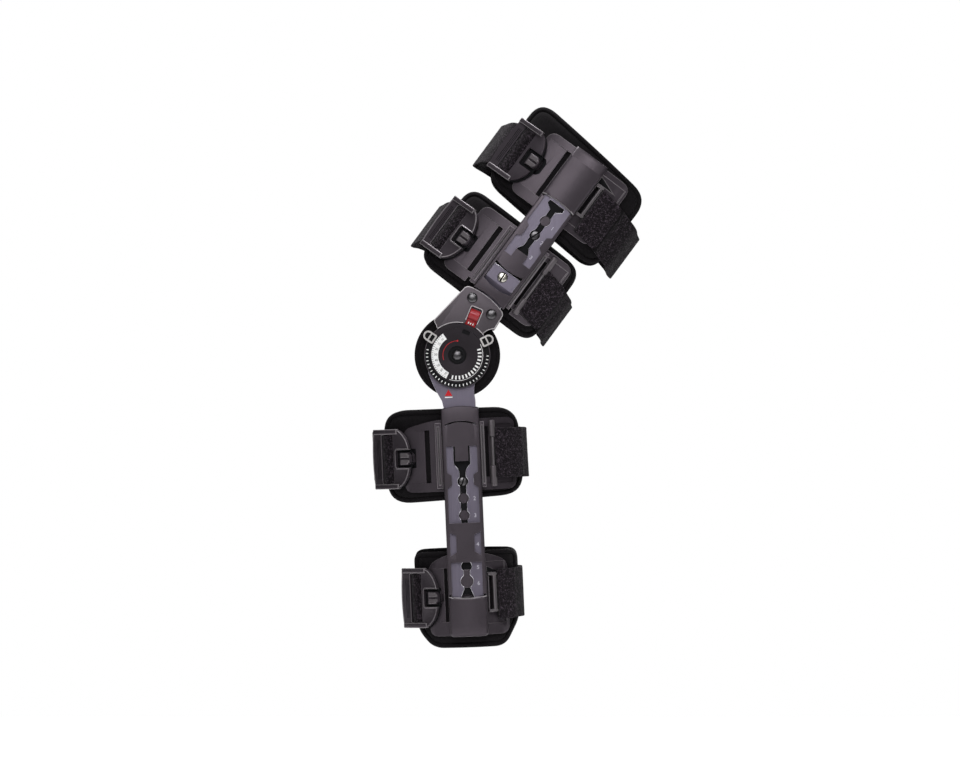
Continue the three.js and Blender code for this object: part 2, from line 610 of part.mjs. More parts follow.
// Inner side: one plain piece each for the thigh and the calf
function innerThighUpright() {
  const head = drum(0, 0, HINGE_RADIUS, HINGE.base[0], HINGE.head, 32)
    .add(slab(drawn(HEAD_EDGE), HINGE.base[0], HINGE.head, 5))
    .subtract(drum(0, 0, PIVOT_BORE, ...THROUGH, 16));
  const { middle, tongue } = THIGH_BAR;
  const [left, right] = [middle - PLATE_HALF, middle + PLATE_HALF];
  const root = block(left, right, tongue + 2, tongue + 18, HINGE.bar[0] + 0.5, HINGE.head);
  const holder = block(left, right, 85, 96, ...layer(THIGH_FACE, [FLOOR[0], COVER[1]]));
  return mirrored(union(head, root, thighBar(), holder, plainChannel(middle, THIGH_FACE, THIGH_CHANNEL)));
}

function innerCalfUpright() {
  const { middle, end } = CALF_BAR;
  const [left, right] = [middle - PLATE_HALF, middle + PLATE_HALF];
  const holder = block(left, right, end, -52, ...layer(CALF_FACE, [FLOOR[0], COVER[1]]));
  return mirrored(union(calfBar(), holder, plainChannel(middle, CALF_FACE, CALF_CHANNEL)));
}

// Assembly
const brace = new THREE.Group();
brace.rotation.x = Math.PI / 2;
const thigh = new THREE.Group();
thigh.rotation.z = -deg(THIGH_SLOPE_DEG);
const calf = new THREE.Group();
calf.rotation.z = deg(CALF_SLOPE_DEG);
brace.add(thigh, calf);

function place(group, name, solid, material) {
  const mesh = new THREE.Mesh(toGeometry(solid), material.clone());
  mesh.name = name;
  group.add(mesh);
}

place(thigh, "condyle_pad_lateral", condylePad(), FOAM);
place(thigh, "condyle_pad_medial", mirrored(condylePad()), FOAM);
place(thigh, "hinge_head", hingeHead(), HEAD);
place(thigh, "hinge_dial", hingeDial(), DIAL);
place(thigh, "hinge_pivot", hingePivot(HINGE.dialRim[1] + 0.1), STEEL);
["rivet_front", "rivet_rear"].forEach((name, k) =>
  place(thigh, name, rivet(...RIVETS[k], 3, HINGE.bar[0], HINGE.head + GAP, 5.3, 2.4), STEEL));
place(thigh, "lock_slider", lockSlider(), RED);
place(thigh, "front_stop", stopClip(STOPS.front), CLIP);
place(thigh, "rear_stop", stopClip(STOPS.rear), CLIP);
place(thigh, "thigh_bar", thighBar(), METAL);
place(thigh, "medial_thigh_upright", innerThighUpright(), METAL);
place(thigh, "medial_pivot", mirrored(hingePivot(HINGE.head + GAP)), STEEL);

place(thigh, "thigh_channel", thighChannel(), PLASTIC);
place(thigh, "thigh_plate", slottedPlate(THIGH_BAR.middle, THIGH_FACE, THIGH_PLATE), METAL);
const innerThighPlate = plainPlate(THIGH_BAR.middle, THIGH_FACE, THIGH_PLATE);
place(thigh, "medial_thigh_plate", mirrored(innerThighPlate), METAL);
const barTop = THIGH_FACE + PLATE[1];
place(thigh, "thigh_bar_screw", rivet(...BAR_SCREW, 2, barTop - 2, barTop + GAP, 5.3, 2), STEEL);
place(thigh, "thigh_lock_button",
  lockButton(THIGH_BAR.middle, THIGH_PLATE.first, THIGH_FACE), STEEL);

place(calf, "calf_bar", calfBar(), METAL);
place(calf, "calf_channel", calfChannel(), PLASTIC);
place(calf, "calf_plate", slottedPlate(CALF_BAR.middle, CALF_FACE, CALF_PLATE), METAL);
place(calf, "calf_lock_button", lockButton(CALF_BAR.middle, CALF_BUTTON, CALF_FACE), STEEL);
place(calf, "medial_calf_upright", innerCalfUpright(), METAL);
place(calf, "medial_calf_plate", mirrored(plainPlate(CALF_BAR.middle, CALF_FACE, CALF_PLATE)), METAL);

for (const cuff of CUFFS) {
  const group = cuff.face === THIGH_FACE ? thigh : calf;
  for (const [name, solid, material] of cuffPieces(cuff))
    place(group, `${cuff.name}_${name}`, solid, material);
}

export default brace;
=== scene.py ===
import json
import math
import bpy
from mathutils import Matrix, Vector


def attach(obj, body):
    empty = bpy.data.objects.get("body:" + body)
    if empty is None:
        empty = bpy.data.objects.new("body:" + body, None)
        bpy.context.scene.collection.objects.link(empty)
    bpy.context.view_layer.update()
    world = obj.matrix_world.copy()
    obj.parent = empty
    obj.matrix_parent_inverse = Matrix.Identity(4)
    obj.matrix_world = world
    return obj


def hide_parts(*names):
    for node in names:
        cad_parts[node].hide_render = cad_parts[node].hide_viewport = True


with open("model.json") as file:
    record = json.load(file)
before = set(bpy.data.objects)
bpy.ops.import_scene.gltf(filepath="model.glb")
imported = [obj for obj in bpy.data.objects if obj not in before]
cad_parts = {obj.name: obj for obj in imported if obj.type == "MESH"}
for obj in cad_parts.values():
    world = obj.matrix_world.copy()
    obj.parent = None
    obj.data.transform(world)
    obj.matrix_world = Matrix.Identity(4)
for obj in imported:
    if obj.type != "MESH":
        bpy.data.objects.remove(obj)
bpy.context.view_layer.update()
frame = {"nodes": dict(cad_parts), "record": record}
nodes = frame["nodes"]
mm = 0.001
print("frame loaded:", len(nodes), "nodes")

# Side view of the thigh half and the calf half: x to the rear, y up, z out of the outer side.
# Pieces are modelled flat in these and then stood up in the frame.
standUp = Matrix.Rotation(math.radians(90), 4, "X")
limbs = {
    "thigh": standUp @ Matrix.Rotation(math.radians(-36.5), 4, "Z"),
    "calf": standUp @ Matrix.Rotation(math.radians(2.5), 4, "Z"),
}


# camera and light
view = {"place": (0.0227, -5.284, -0.0288), "sensor": 36.0, "lens": 195.0}
bpy.ops.object.camera_add(location=view["place"], rotation=(math.radians(90), 0, 0))
camera = bpy.context.object
camera.data.sensor_width = view["sensor"]
camera.data.lens = view["lens"]
camera.data.clip_end = 50
bpy.context.scene.camera = camera

studio = {
    "floor": -0.445,
    "key": {"place": (-0.1, -2.15, 1.05), "size": 1.5, "power": 38},
    "fill": {"place": (1.0, -1.25, 1.4), "size": 0.6, "power": 11},
    "back": {"place": (-0.1, 0.25, 1.9), "size": 0.8, "power": 50},
    "rear": {"place": (0.5, 2.2, 0.8), "size": 1.5, "power": 26},
    "sky": {"seen": 1.0, "cast": 0.025},
}


def addLight(name, place, size, power):
    bpy.ops.object.light_add(type="AREA", location=place)
    lamp = bpy.context.object
    lamp.name = name
    lamp.data.size = size
    lamp.data.energy = power
    lamp.rotation_euler = (-Vector(place)).to_track_quat("-Z", "Y").to_euler()


for lampName in ("key", "fill", "back", "rear"):
    addLight(lampName, **studio[lampName])

def seenOnly(tree, seen, cast, target):
    # one value for the camera, another for the light that reaches the pieces
    ray = tree.nodes.new("ShaderNodeLightPath")
    mix = tree.nodes.new("ShaderNodeMapRange")
    mix.inputs["To Min"].default_value = cast
    mix.inputs["To Max"].default_value = seen
    tree.links.new(ray.outputs["Is Camera Ray"], mix.inputs["Value"])
    tree.links.new(mix.outputs[0], target)


# white behind the brace, softer where it lights it
world = bpy.data.worlds.new("studio")
world.use_nodes = True
sky = world.node_tree.nodes["Background"]
sky.inputs["Color"].default_value = (1, 1, 1, 1)
seenOnly(world.node_tree, studio["sky"]["seen"], studio["sky"]["cast"], sky.inputs["Strength"])
bpy.context.scene.world = world
bpy.context.scene.view_settings.view_transform = "Standard"
floorTile = {"size": 2.4, "colour": (0.93, 0.93, 0.93, 1), "glow": 0.55}
bpy.ops.mesh.primitive_plane_add(size=floorTile["size"], location=(0, 0, studio["floor"]))
floor = bpy.context.object
floor.name = "floor"
floorPaint = bpy.data.materials.new("floorPaint")
floorPaint.use_nodes = True
floorShader = floorPaint.node_tree.nodes["Principled BSDF"]
floorShader.inputs["Base Color"].default_value = floorTile["colour"]
floorShader.inputs["Roughness"].default_value = 0.9
floorShader.inputs["Emission Color"].default_value = (1, 1, 1, 1)
seenOnly(floorPaint.node_tree, floorTile["glow"], 0.0, floorShader.inputs["Emission Strength"])
floor.data.materials.append(floorPaint)
print("studio ready")


# finishes
class Finish:
    # one node material, with short ways to add and join its nodes
    def __init__(self, name, roughness, metallic=0.0):
        self.material = bpy.data.materials.new(name)
        self.material.use_nodes = True
        self.tree = self.material.node_tree
        self.shader = self.tree.nodes["Principled BSDF"]
        self.shader.inputs["Roughness"].default_value = roughness
        self.shader.inputs["Metallic"].default_value = metallic
        self.place = self.add("ShaderNodeTexCoord").outputs["Object"]

    def add(self, kind, inputs=None, **settings):
        node = self.tree.nodes.new(kind)
        for key, value in settings.items():
            setattr(node, key, value)
        for key, value in (inputs or {}).items():
            if isinstance(value, bpy.types.NodeSocket):
                self.tree.links.new(value, node.inputs[key])
            else:
                node.inputs[key].default_value = value
        return node

    def stretched(self, stretch):
        return self.add("ShaderNodeMapping", {"Vector": self.place, "Scale": stretch}).outputs[0]

    def noise(self, scale, detail=2.0, rough=0.5, vector=None):
        inputs = {"Vector": vector or self.place, "Scale": scale, "Detail": detail, "Roughness": rough}
        return self.add("ShaderNodeTexNoise", inputs).outputs["Fac"]

    def ramp(self, fac, *stops):
        node = self.add("ShaderNodeValToRGB", {"Fac": fac})
        while len(node.color_ramp.elements) < len(stops):
            node.color_ramp.elements.new(0.5)
        for element, (spot, colour) in zip(node.color_ramp.elements, stops):
            element.position = spot
            element.color = (*colour, 1)
        return node.outputs["Color"]

    def math(self, operation, first, second=0.0, third=0.0):
        node = self.add("ShaderNodeMath", operation=operation)
        for socket, value in zip(node.inputs, (first, second, third)):
            if isinstance(value, bpy.types.NodeSocket):
                self.tree.links.new(value, socket)
            else:
                socket.default_value = value
        return node.outputs[0]

    def colour(self, socket):
        self.tree.links.new(socket, self.shader.inputs["Base Color"])

    def rough(self, fac, low, high):
        inputs = {"Value": fac, "To Min": low, "To Max": high}
        spread = self.add("ShaderNodeMapRange", inputs).outputs[0]
        self.tree.links.new(spread, self.shader.inputs["Roughness"])

    def bump(self, height, strength, distance):
        inputs = {"Height": height, "Strength": strength, "Distance": distance}
        self.tree.links.new(self.add("ShaderNodeBump", inputs).outputs[0], self.shader.inputs["Normal"])


def shade(colour, share):
    return tuple(channel * share for channel in colour)


def mouldedFinish(name, colour, roughness, shine=0.5):
    # moulded plastic: spark-eroded grain, faint flow marks and handling shine
    finish = Finish(name, roughness)
    finish.shader.inputs["Specular Tint"].default_value = (1, 0.86, 0.99, 1)
    finish.shader.inputs["Specular IOR Level"].default_value = shine
    cloud = finish.noise(18, 3)
    finish.colour(finish.ramp(cloud, (0.3, shade(colour, 0.86)), (0.7, shade(colour, 1.12))))
    finish.rough(finish.noise(60, 4), roughness - 0.08, roughness + 0.1)
    finish.bump(finish.noise(2600, 2, 0.6), 0.35, 0.00012)
    return finish.material


def anodisedFinish(name, colour):
    # anodised bar: drawn grain along the bar, soft cloud in the dye
    finish = Finish(name, 0.38, 0.55)
    grain = finish.noise(900, 2, 0.6, finish.stretched((1, 1, 0.03)))
    cloud = finish.noise(25, 2)
    mixed = finish.math("MULTIPLY_ADD", cloud, 0.6, finish.math("MULTIPLY", grain, 0.4))
    finish.colour(finish.ramp(mixed, (0.3, shade(colour, 0.88)), (0.7, shade(colour, 1.12))))
    finish.rough(grain, 0.3, 0.46)
    finish.bump(grain, 0.25, 0.00008)
    return finish.material


def steelFinish(name, colour, roughness):
    finish = Finish(name, roughness, 0.95)
    finish.colour(finish.ramp(finish.noise(140, 3), (0.3, shade(colour, 0.8)), (0.75, shade(colour, 1.1))))
    finish.rough(finish.noise(700, 2), roughness - 0.06, roughness + 0.1)
    finish.bump(finish.noise(1500, 2), 0.15, 0.00005)
    return finish.material


def loopFinish(name, colour):
    # brushed loop: a mat of tiny curls, with painted light on their tops and painted shade between them
    finish = Finish(name, 0.95)
    finish.shader.inputs["Sheen Weight"].default_value = 0.06
    finish.shader.inputs["Sheen Roughness"].default_value = 0.45
    finish.shader.inputs["Specular IOR Level"].default_value = 0.08
    curls = finish.add("ShaderNodeTexVoronoi", {"Vector": finish.place, "Scale": 1000.0, "Randomness": 1.0})
    fluff = finish.noise(420, 5, 0.7)
    mixed = finish.math("MULTIPLY_ADD", curls.outputs["Distance"], -0.55, fluff)
    finish.colour(finish.ramp(mixed, (0.1, shade(colour, 0.35)), (0.28, colour), (0.46, shade(colour, 6))))
    finish.bump(mixed, 0.9, 0.0007)
    return finish.material


def padFinish(name, colour):
    # laminated foam: close knit cover, with a stitched line inside the bound edge
    finish = Finish(name, 0.9)
    finish.shader.inputs["Sheen Weight"].default_value = 0.03
    finish.shader.inputs["Sheen Roughness"].default_value = 0.4
    finish.shader.inputs["Specular IOR Level"].default_value = 0.08
    knit = finish.add("ShaderNodeTexVoronoi", {"Vector": finish.place, "Scale": 1300.0, "Randomness": 0.6})
    fluff = finish.noise(500, 4, 0.6)
    mixed = finish.math("MULTIPLY_ADD", knit.outputs["Distance"], 0.5, finish.math("MULTIPLY", fluff, 0.6))
    finish.colour(finish.ramp(mixed, (0.25, shade(colour, 0.5)), (0.7, shade(colour, 1.9))))
    finish.bump(mixed, 0.6, 0.0003)
    return finish.material


def inkFinish(name, colour, roughness=0.5):
    finish = Finish(name, roughness)
    finish.shader.inputs["Specular IOR Level"].default_value = 0.05
    finish.colour(finish.ramp(finish.noise(300, 2), (0.3, shade(colour, 0.93)), (0.7, colour)))
    finish.bump(finish.noise(2200, 2), 0.15, 0.00005)
    return finish.material


finishes = {
    "moulded_plastic": mouldedFinish("mouldedPlastic", (0.025, 0.021, 0.025), 0.37),
    # painted highlight: a lighter copy of the moulded plastic for its rounded edges
    "moulded_plastic_edge": mouldedFinish("mouldedPlasticHighlight", (0.13, 0.12, 0.127), 0.34),
    # painted highlight: a lighter copy of the moulded plastic for the strap posts, lugs, pins and catch ribs
    "post": mouldedFinish("postPlastic", (0.075, 0.068, 0.072), 0.4),
    # painted highlight: a lighter copy of the post plastic for its rounded edges
    "post_edge": mouldedFinish("postPlasticHighlight", (0.12, 0.112, 0.117), 0.36),
    "hinge_plastic": mouldedFinish("hingePlastic", (0.04, 0.036, 0.039), 0.4),
    # painted highlight: a much lighter copy of the hinge plastic for its rounded edges and raised lines
    "hinge_plastic_edge": mouldedFinish("hingePlasticHighlight", (0.4, 0.38, 0.39), 0.3),
    "dial_plastic": mouldedFinish("dialPlastic", (0.008, 0.007, 0.008), 0.5, 0.24),
    # painted highlight: a light copy of the moulded plastic for the buckle's upper rim and the hood's mouth
    # lip
    "buckle_edge": mouldedFinish("buckleHighlight", (0.27, 0.255, 0.265), 0.32),
    "bar_metal": anodisedFinish("barMetal", (0.135, 0.12, 0.16)),
    # bare metal of the machined chamfers, also a painted highlight along the plates' and bars' edges
    "bar_metal_edge": steelFinish("barMetalHighlight", (0.75, 0.73, 0.78), 0.34),
    "rivet_steel": steelFinish("rivetSteel", (0.11, 0.106, 0.112), 0.3),
    "foam_pad": padFinish("foamPad", (0.0042, 0.0036, 0.0042)),
    "loop_strap": loopFinish("loopStrap", (0.0092, 0.0072, 0.0092)),
    "loop_patch": loopFinish("loopPatch", (0.0122, 0.0095, 0.0122)),
    "red_plastic": mouldedFinish("redPlastic", (0.28, 0.012, 0.013), 0.3),
    "clip_plastic": mouldedFinish("clipPlastic", (0.42, 0.41, 0.4), 0.42),
    "white_ink": inkFinish("whiteInk", (0.78, 0.78, 0.78)),
    # black ink for print, also painted shade in hollows, slots, the dial window and under the buckle
    "black_ink": inkFinish("blackInkAndShade", (0.008, 0.008, 0.009)),
    "red_ink": inkFinish("redInk", (0.5, 0.025, 0.03)),
    "mark_ink": inkFinish("markInk", (0.5, 0.48, 0.54)),
    "bright_steel": steelFinish("brightSteel", (0.5, 0.48, 0.43), 0.25),
}
slotOf = {row["node"]: row["material_slot"] for row in frame["record"]["subparts"]}
for nodeName, node in nodes.items():
    node.data.materials.clear()
    node.data.materials.append(finishes[slotOf[nodeName]])
print("finishes ready:", len(finishes))


# shaping helpers
def use(piece):
    if bpy.context.object and bpy.context.object.mode != "OBJECT":
        bpy.ops.object.mode_set(mode="OBJECT")
    bpy.ops.object.select_all(action="DESELECT")
    piece.select_set(True)
    bpy.context.view_layer.objects.active = piece


def editAll(piece):
    use(piece)
    bpy.ops.object.mode_set(mode="EDIT")
    bpy.ops.mesh.select_all(action="SELECT")


def leaveEdit():
    bpy.ops.object.mode_set(mode="OBJECT")


def faceOut(piece, merge=0.00001):
    editAll(piece)
    bpy.ops.mesh.remove_doubles(threshold=merge)
    bpy.ops.mesh.normals_make_consistent(inside=False)
    leaveEdit()
    return piece


def newest(name):
    piece = bpy.context.object
    piece.name = name
    return piece


def settle():
    bpy.ops.object.transform_apply(location=True, rotation=True, scale=True)


def placed(piece, matrix):
    use(piece)
    piece.matrix_world = matrix
    settle()
    return piece


def applied(piece, kind, **settings):
    use(piece)
    modifier = piece.modifiers.new(kind.lower(), kind)
    for key, value in settings.items():
        setattr(modifier, key, value)
    bpy.ops.object.modifier_apply(modifier=modifier.name)
    return piece


def roundEdges(piece, width, segments=3, angle=35, slot=None, edge=-1):
    # with a slot named, the rounded edges take that finish's lighter copy: a painted highlight along the edge
    # (on the bar metal also the bare metal of the machined chamfer)
    if slot:
        if not piece.data.materials:
            piece.data.materials.append(finishes[slot])
        piece.data.materials.append(finishes[f"{slot}_edge"])
        edge = len(piece.data.materials) - 1
    return applied(piece, "BEVEL", width=width * mm, segments=segments, limit_method="ANGLE",
                   angle_limit=math.radians(angle), use_clamp_overlap=True, loop_slide=False, material=edge)


def smooth(piece, angle=22):
    use(piece)
    bpy.ops.object.shade_smooth_by_angle(angle=math.radians(angle))
    return piece


def drawPlate(name, points, low, high):
    # a flat outline, pulled up to its thickness
    bpy.ops.object.select_all(action="DESELECT")
    bpy.ops.mesh.primitive_circle_add(vertices=len(points), fill_type="NGON")
    piece = newest(name)
    for vertex, (x, y) in zip(piece.data.vertices, points):
        vertex.co = (x * mm, y * mm, low * mm)
    editAll(piece)
    bpy.ops.mesh.extrude_region_move(TRANSFORM_OT_translate={"value": (0, 0, (high - low) * mm)})
    leaveEdit()
    return faceOut(piece)


def addBox(name, across, along, low, high):
    bpy.ops.object.select_all(action="DESELECT")
    middle = [(across[0] + across[1]) / 2 * mm, (along[0] + along[1]) / 2 * mm, (low + high) / 2 * mm]
    bpy.ops.mesh.primitive_cube_add(size=mm, location=middle)
    piece = newest(name)
    piece.scale = (across[1] - across[0], along[1] - along[0], high - low)
    settle()
    return piece


def addDrum(name, middle, radius, low, high, sides=64):
    bpy.ops.object.select_all(action="DESELECT")
    place = (middle[0] * mm, middle[1] * mm, (low + high) / 2 * mm)
    size = {"radius": radius * mm, "depth": (high - low) * mm}
    bpy.ops.mesh.primitive_cylinder_add(vertices=sides, location=place, **size)
    piece = newest(name)
    settle()
    return piece


def combine(piece, tool, operation="DIFFERENCE", transfer=False):
    # with transfer, the cut faces keep the tool's own finish
    if transfer and not piece.data.materials:
        piece.data.materials.append(finishes["moulded_plastic"])
    applied(piece, "BOOLEAN", object=tool, operation=operation, solver="EXACT",
            material_mode="TRANSFER" if transfer else "INDEX")
    bpy.data.objects.remove(tool, do_unlink=True)
    return piece


def joined(name, *pieces):
    use(pieces[0])
    for piece in pieces[1:]:
        if pieces[0].data.materials and not piece.data.materials:
            piece.data.materials.append(pieces[0].data.materials[0])
        piece.select_set(True)
    bpy.ops.object.join()
    pieces[0].name = name
    return pieces[0]


def slices(piece, spots, normal=(1, 0, 0)):
    # cut flat faces into strips, so that they can be bent
    editAll(piece)
    for spot in spots:
        bpy.ops.mesh.select_all(action="SELECT")
        bpy.ops.mesh.bisect(plane_co=Vector(normal) * spot * mm, plane_no=normal)
    leaveEdit()
    return piece


def steps(low, high, pitch):
    count = max(1, round((high - low) / pitch))
    return [low + (high - low) * k / count for k in range(1, count)]


def bent(piece, rule):
    # moves each point by a rule in millimetres
    for vertex in piece.data.vertices:
        vertex.co = Vector(rule(*(vertex.co / mm))) * mm
    return piece


def turnedPiece(name, profile, sides=64, middle=(0, 0)):
    # profile rows are (radius, height), spun about the axis
    bpy.ops.object.select_all(action="DESELECT")
    bpy.ops.mesh.primitive_circle_add(vertices=len(profile), fill_type="NOTHING")
    piece = newest(name)
    for vertex, (radius, height) in zip(piece.data.vertices, profile):
        vertex.co = (middle[0] * mm + radius * mm, middle[1] * mm, height * mm)
    editAll(piece)
    axle = (middle[0] * mm, middle[1] * mm, 0)
    bpy.ops.mesh.spin(steps=sides, angle=math.tau, center=axle, axis=(0, 0, 1))
    leaveEdit()
    faceOut(piece)
    editAll(piece)
    bpy.ops.mesh.delete_loose()
    leaveEdit()
    return piece


def skin(name, rings):
    # a grid laid through closed rings of points, its seam and ends merged
    columns, rows = len(rings[0]), len(rings)
    bpy.ops.object.select_all(action="DESELECT")
    bpy.ops.mesh.primitive_grid_add(x_subdivisions=columns, y_subdivisions=rows - 1, size=1)
    piece = newest(name)
    flat = [value * mm for ring in rings for point in [*ring, ring[0]] for value in point]
    piece.data.vertices.foreach_set("co", flat)
    piece.data.update()
    return faceOut(piece)


def seat(piece, limb, body, slot, replaced=(), mirror=False):
    # stand a finished piece up in the frame and let it ride
    placed(piece, limbs[limb] @ Matrix.Diagonal((1, 1, -1 if mirror else 1, 1)))
    if mirror:
        editAll(piece)
        bpy.ops.mesh.normals_make_consistent(inside=False)
        leaveEdit()
    if not piece.data.materials:
        piece.data.materials.append(finishes[slot])
    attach(piece, body)
    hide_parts(*replaced)
    return piece


# outlines
def curveTo(points, control, end, count=8):
    start = points[-1]
    for k in range(1, count + 1):
        t = k / count
        points.append(tuple((1 - t) ** 2 * a + 2 * t * (1 - t) * b + t * t * c
                            for a, b, c in zip(start, control, end)))
    return points


def arc(middle, radius, start, end, count):
    turns = [math.radians(start + (end - start) * k / count) for k in range(count + 1)]
    return [(middle[0] + radius * math.cos(a), middle[1] + radius * math.sin(a)) for a in turns]


def towards(corner, other, distance):
    length = math.dist(corner, other)
    return tuple(a + (b - a) * distance / length for a, b in zip(corner, other))


def roundedOutline(corners, radius, count=8):
    points = []
    for k, corner in enumerate(corners):
        before = towards(corner, corners[k - 1], radius)
        after = towards(corner, corners[(k + 1) % len(corners)], radius)
        points.append(before)
        curveTo(points, corner, after, count)
    return points


def rectangle(across, along):
    return [(across[0], along[0]), (across[1], along[0]), (across[1], along[1]), (across[0], along[1])]


def evenly(points, count):
    # the same closed outline with its points a set distance apart
    lengths = [0.0]
    closed = [*points, points[0]]
    for a, b in zip(closed, closed[1:]):
        lengths.append(lengths[-1] + math.dist(a, b))
    spaced, k = [], 0
    for n in range(count):
        goal = lengths[-1] * n / count
        while lengths[k + 1] < goal:
            k += 1
        share = (goal - lengths[k]) / max(lengths[k + 1] - lengths[k], 1e-9)
        spaced.append(tuple(a + (b - a) * share for a, b in zip(closed[k], closed[k + 1])))
    return spaced


# cuffs: outlines in side view, and the oval that each goes round
cuffs = {
    "thigh_upper": {
        "label": "thighUpper", "limb": "thigh", "body": "upper_cuff", "bar": -9, "face": 79,
        "oval": {"centre": -11, "depth": 85.5, "width": 68},
        "pad": {"corners": [(-86, 161), (60, 150), (61, 241), (-86, 257)], "radius": 20},
        "shell": {"corners": [(-58, 165), (41, 165), (41, 238), (-58, 238)], "radius": 10},
        "sleeve": (181, 240),
        "frontSlot": {"across": (-33.5, -28.5), "along": (176, 230)},
        "rearSlot": {"across": (11, 15), "along": (187, 219)},
        "buckle": (-69.5, 201), "strap": {"middle": 196, "dip": (7, 16)},
        "corner": [(10.6, 222.5), (31, 222.5), (10.6, 230)],
    },
    "thigh_lower": {
        "label": "thighLower", "limb": "thigh", "body": "thigh", "bar": -9, "face": 79,
        "oval": {"centre": -19, "depth": 79.5, "width": 68},
        "pad": {"corners": [(-91, 55), (52, 53), (51, 143), (-91, 146)], "radius": 18},
        "shell": {"corners": [(-68, 64), (43, 64), (43, 139), (-68, 139)], "radius": 10},
        "frontSlot": {"across": (-44, -38.5), "along": (75, 129)},
        "rearSlot": {"across": (14.8, 18.4), "along": (75, 128)}, "pin": (86, 116),
        "buckle": (-78, 98), "strap": {"middle": 101, "dip": (15, 17)},
        "passage": [{"across": (-26, 8), "top": 84}, {"across": (-38, 17), "top": 70}],
    },
    "calf_upper": {
        "label": "calfUpper", "limb": "calf", "body": "shank", "bar": 0, "face": 72,
        "oval": {"centre": -12, "depth": 71.5, "width": 61},
        "pad": {"corners": [(-76, -147), (62, -142), (58, -54), (-78, -53)], "radius": 23},
        "shell": {"corners": [(-58, -136), (54, -136), (54, -64), (-26, -64), (-58, -72)], "radius": 9},
        "frontSlot": {"across": (-37, -31.5), "along": (-127, -74)},
        "rearSlot": {"across": (24, 28.2), "along": (-123, -72)}, "pin": (-111.5, -83.5),
        "buckle": (-69.5, -101.5), "strap": {"middle": -98.5, "dip": (0, 2), "lean": 6},
    },
    "calf_lower": {
        "label": "calfLower", "limb": "calf", "body": "lower_cuff", "bar": 0, "face": 72,
        "oval": {"centre": -6, "depth": 54, "width": 61},
        "pad": {"corners": [(-52, -274), (-37, -293), (36, -294), (52, -266), (52, -197), (-53, -196)],
                "radius": 10},
        "shell": {"corners": [(-39, -281), (41, -281), (41, -207), (20, -199), (-20, -199), (-39, -209)],
                  "radius": 9},
        "sleeve": (-282, -241),
        "frontSlot": {"across": (-23.5, -19.5), "along": (-267, -213)},
        "rearSlot": {"across": (21.5, 25), "along": (-256, -222)},
        "buckle": (-47, -242), "strap": {"middle": -241, "dip": (0, 0)},
        "corner": [(20.5, -219), (34, -219), (20.5, -213)],
    },
}
padThick, shellThick, strapThick, strapWide, gap = 8, 3, 2.5, 50, 0.3


def ovalAngle(oval, u, off):
    return math.asin(max(-1, min(1, (u - oval["centre"]) / (oval["depth"] + off))))


def ovalPoint(oval, angle, v, off):
    u = oval["centre"] + (oval["depth"] + off) * math.sin(angle)
    return u, v, (oval["width"] + off) * math.cos(angle)


def wrapped(piece, oval, off):
    # lay a flat piece round the oval, its heights measured from there
    return bent(piece, lambda u, v, h: ovalPoint(oval, ovalAngle(oval, u, off), v, h))


def edgesOf(corners):
    across, along = zip(*corners)
    return {"front": min(across), "rear": max(across), "bottom": min(along), "top": max(along)}


# pads: a bound edge, a stitched line inside it, and foam that rises behind the line
padShape = {
    "points": 260,
    "straight": 5.6,  # how far in the rows keep their distance from the edge
    # rows from the inside, round the edge, to the outside: (distance in, height)
    "edge": [(9, 0.0), (6.6, 0.1), (5.6, 0.6), (4.9, 1.3), (4.2, 0.7), (2.6, 0.35), (1.1, 0.9), (0.25, 2.2),
             (0, 3.6), (0.25, 5.0), (1.0, 6.2), (2.4, 6.9), (3.8, 6.6), (4.5, 5.9), (4.9, 5.2), (5.4, 5.9),
             (6.4, 6.9), (9, 7.6), (14, 7.9)],
    "inside": [1.0, 0.9, 0.75, 0.6, 0.45, 0.3, 0.15],
    "underBar": 73.8,  # height left free below the hinge arm
    "fill": 0.8,
}


def makePad(name, cuff, node, mirror):
    oval = cuff["oval"]
    rim = evenly(roundedOutline(**cuff["pad"]), padShape["points"])
    centre = tuple(sum(values) / len(rim) for values in zip(*rim))
    inward = []
    for k in range(len(rim)):
        (ax, ay), (bx, by) = rim[k - 1], rim[(k + 1) % len(rim)]
        length = math.dist((ax, ay), (bx, by))
        inward.append(((ay - by) / length, (bx - ax) / length))
    turn = sum(a[0] * b[1] - a[1] * b[0] for a, b in zip(rim, [*rim[1:], rim[0]]))
    side = 1 if turn > 0 else -1

    def row(distance, height, pull=0.0):
        straight = min(distance, padShape["straight"])
        ring = []
        for point, way in zip(rim, inward):
            spot = tuple(a + side * b * straight for a, b in zip(point, way))
            if distance > straight:
                spot = towards(spot, centre, distance - straight)
            spot = tuple(a + (b - a) * pull for a, b in zip(spot, centre))
            place = list(ovalPoint(oval, ovalAngle(oval, spot[0], max(height, 5)), spot[1], height))
            for cut in cuff.get("passage", ()):
                if cut["across"][0] - 1 < spot[0] < cut["across"][1] + 1 and spot[1] < cut["top"] + 1:
                    place[2] = min(place[2], padShape["underBar"])
            ring.append(tuple(place))
        return ring

    first, last = padShape["edge"][0], padShape["edge"][-1]
    rings = [row(*first, pull) for pull in padShape["inside"]]
    rings += [row(*step) for step in padShape["edge"]]
    rings += [row(*last, pull) for pull in reversed(padShape["inside"])]
    piece = smooth(skin(name, rings), 80)
    seat(piece, cuff["limb"], cuff["body"], "foam_pad", [node], mirror)


for cuffName, cuff in cuffs.items():
    makePad(f"{cuff['label']}PadOuter", cuff, f"{cuffName}_pad_lateral", False)
    makePad(f"{cuff['label']}PadInner", cuff, f"{cuffName}_pad_medial", True)
print("cuff pads done")


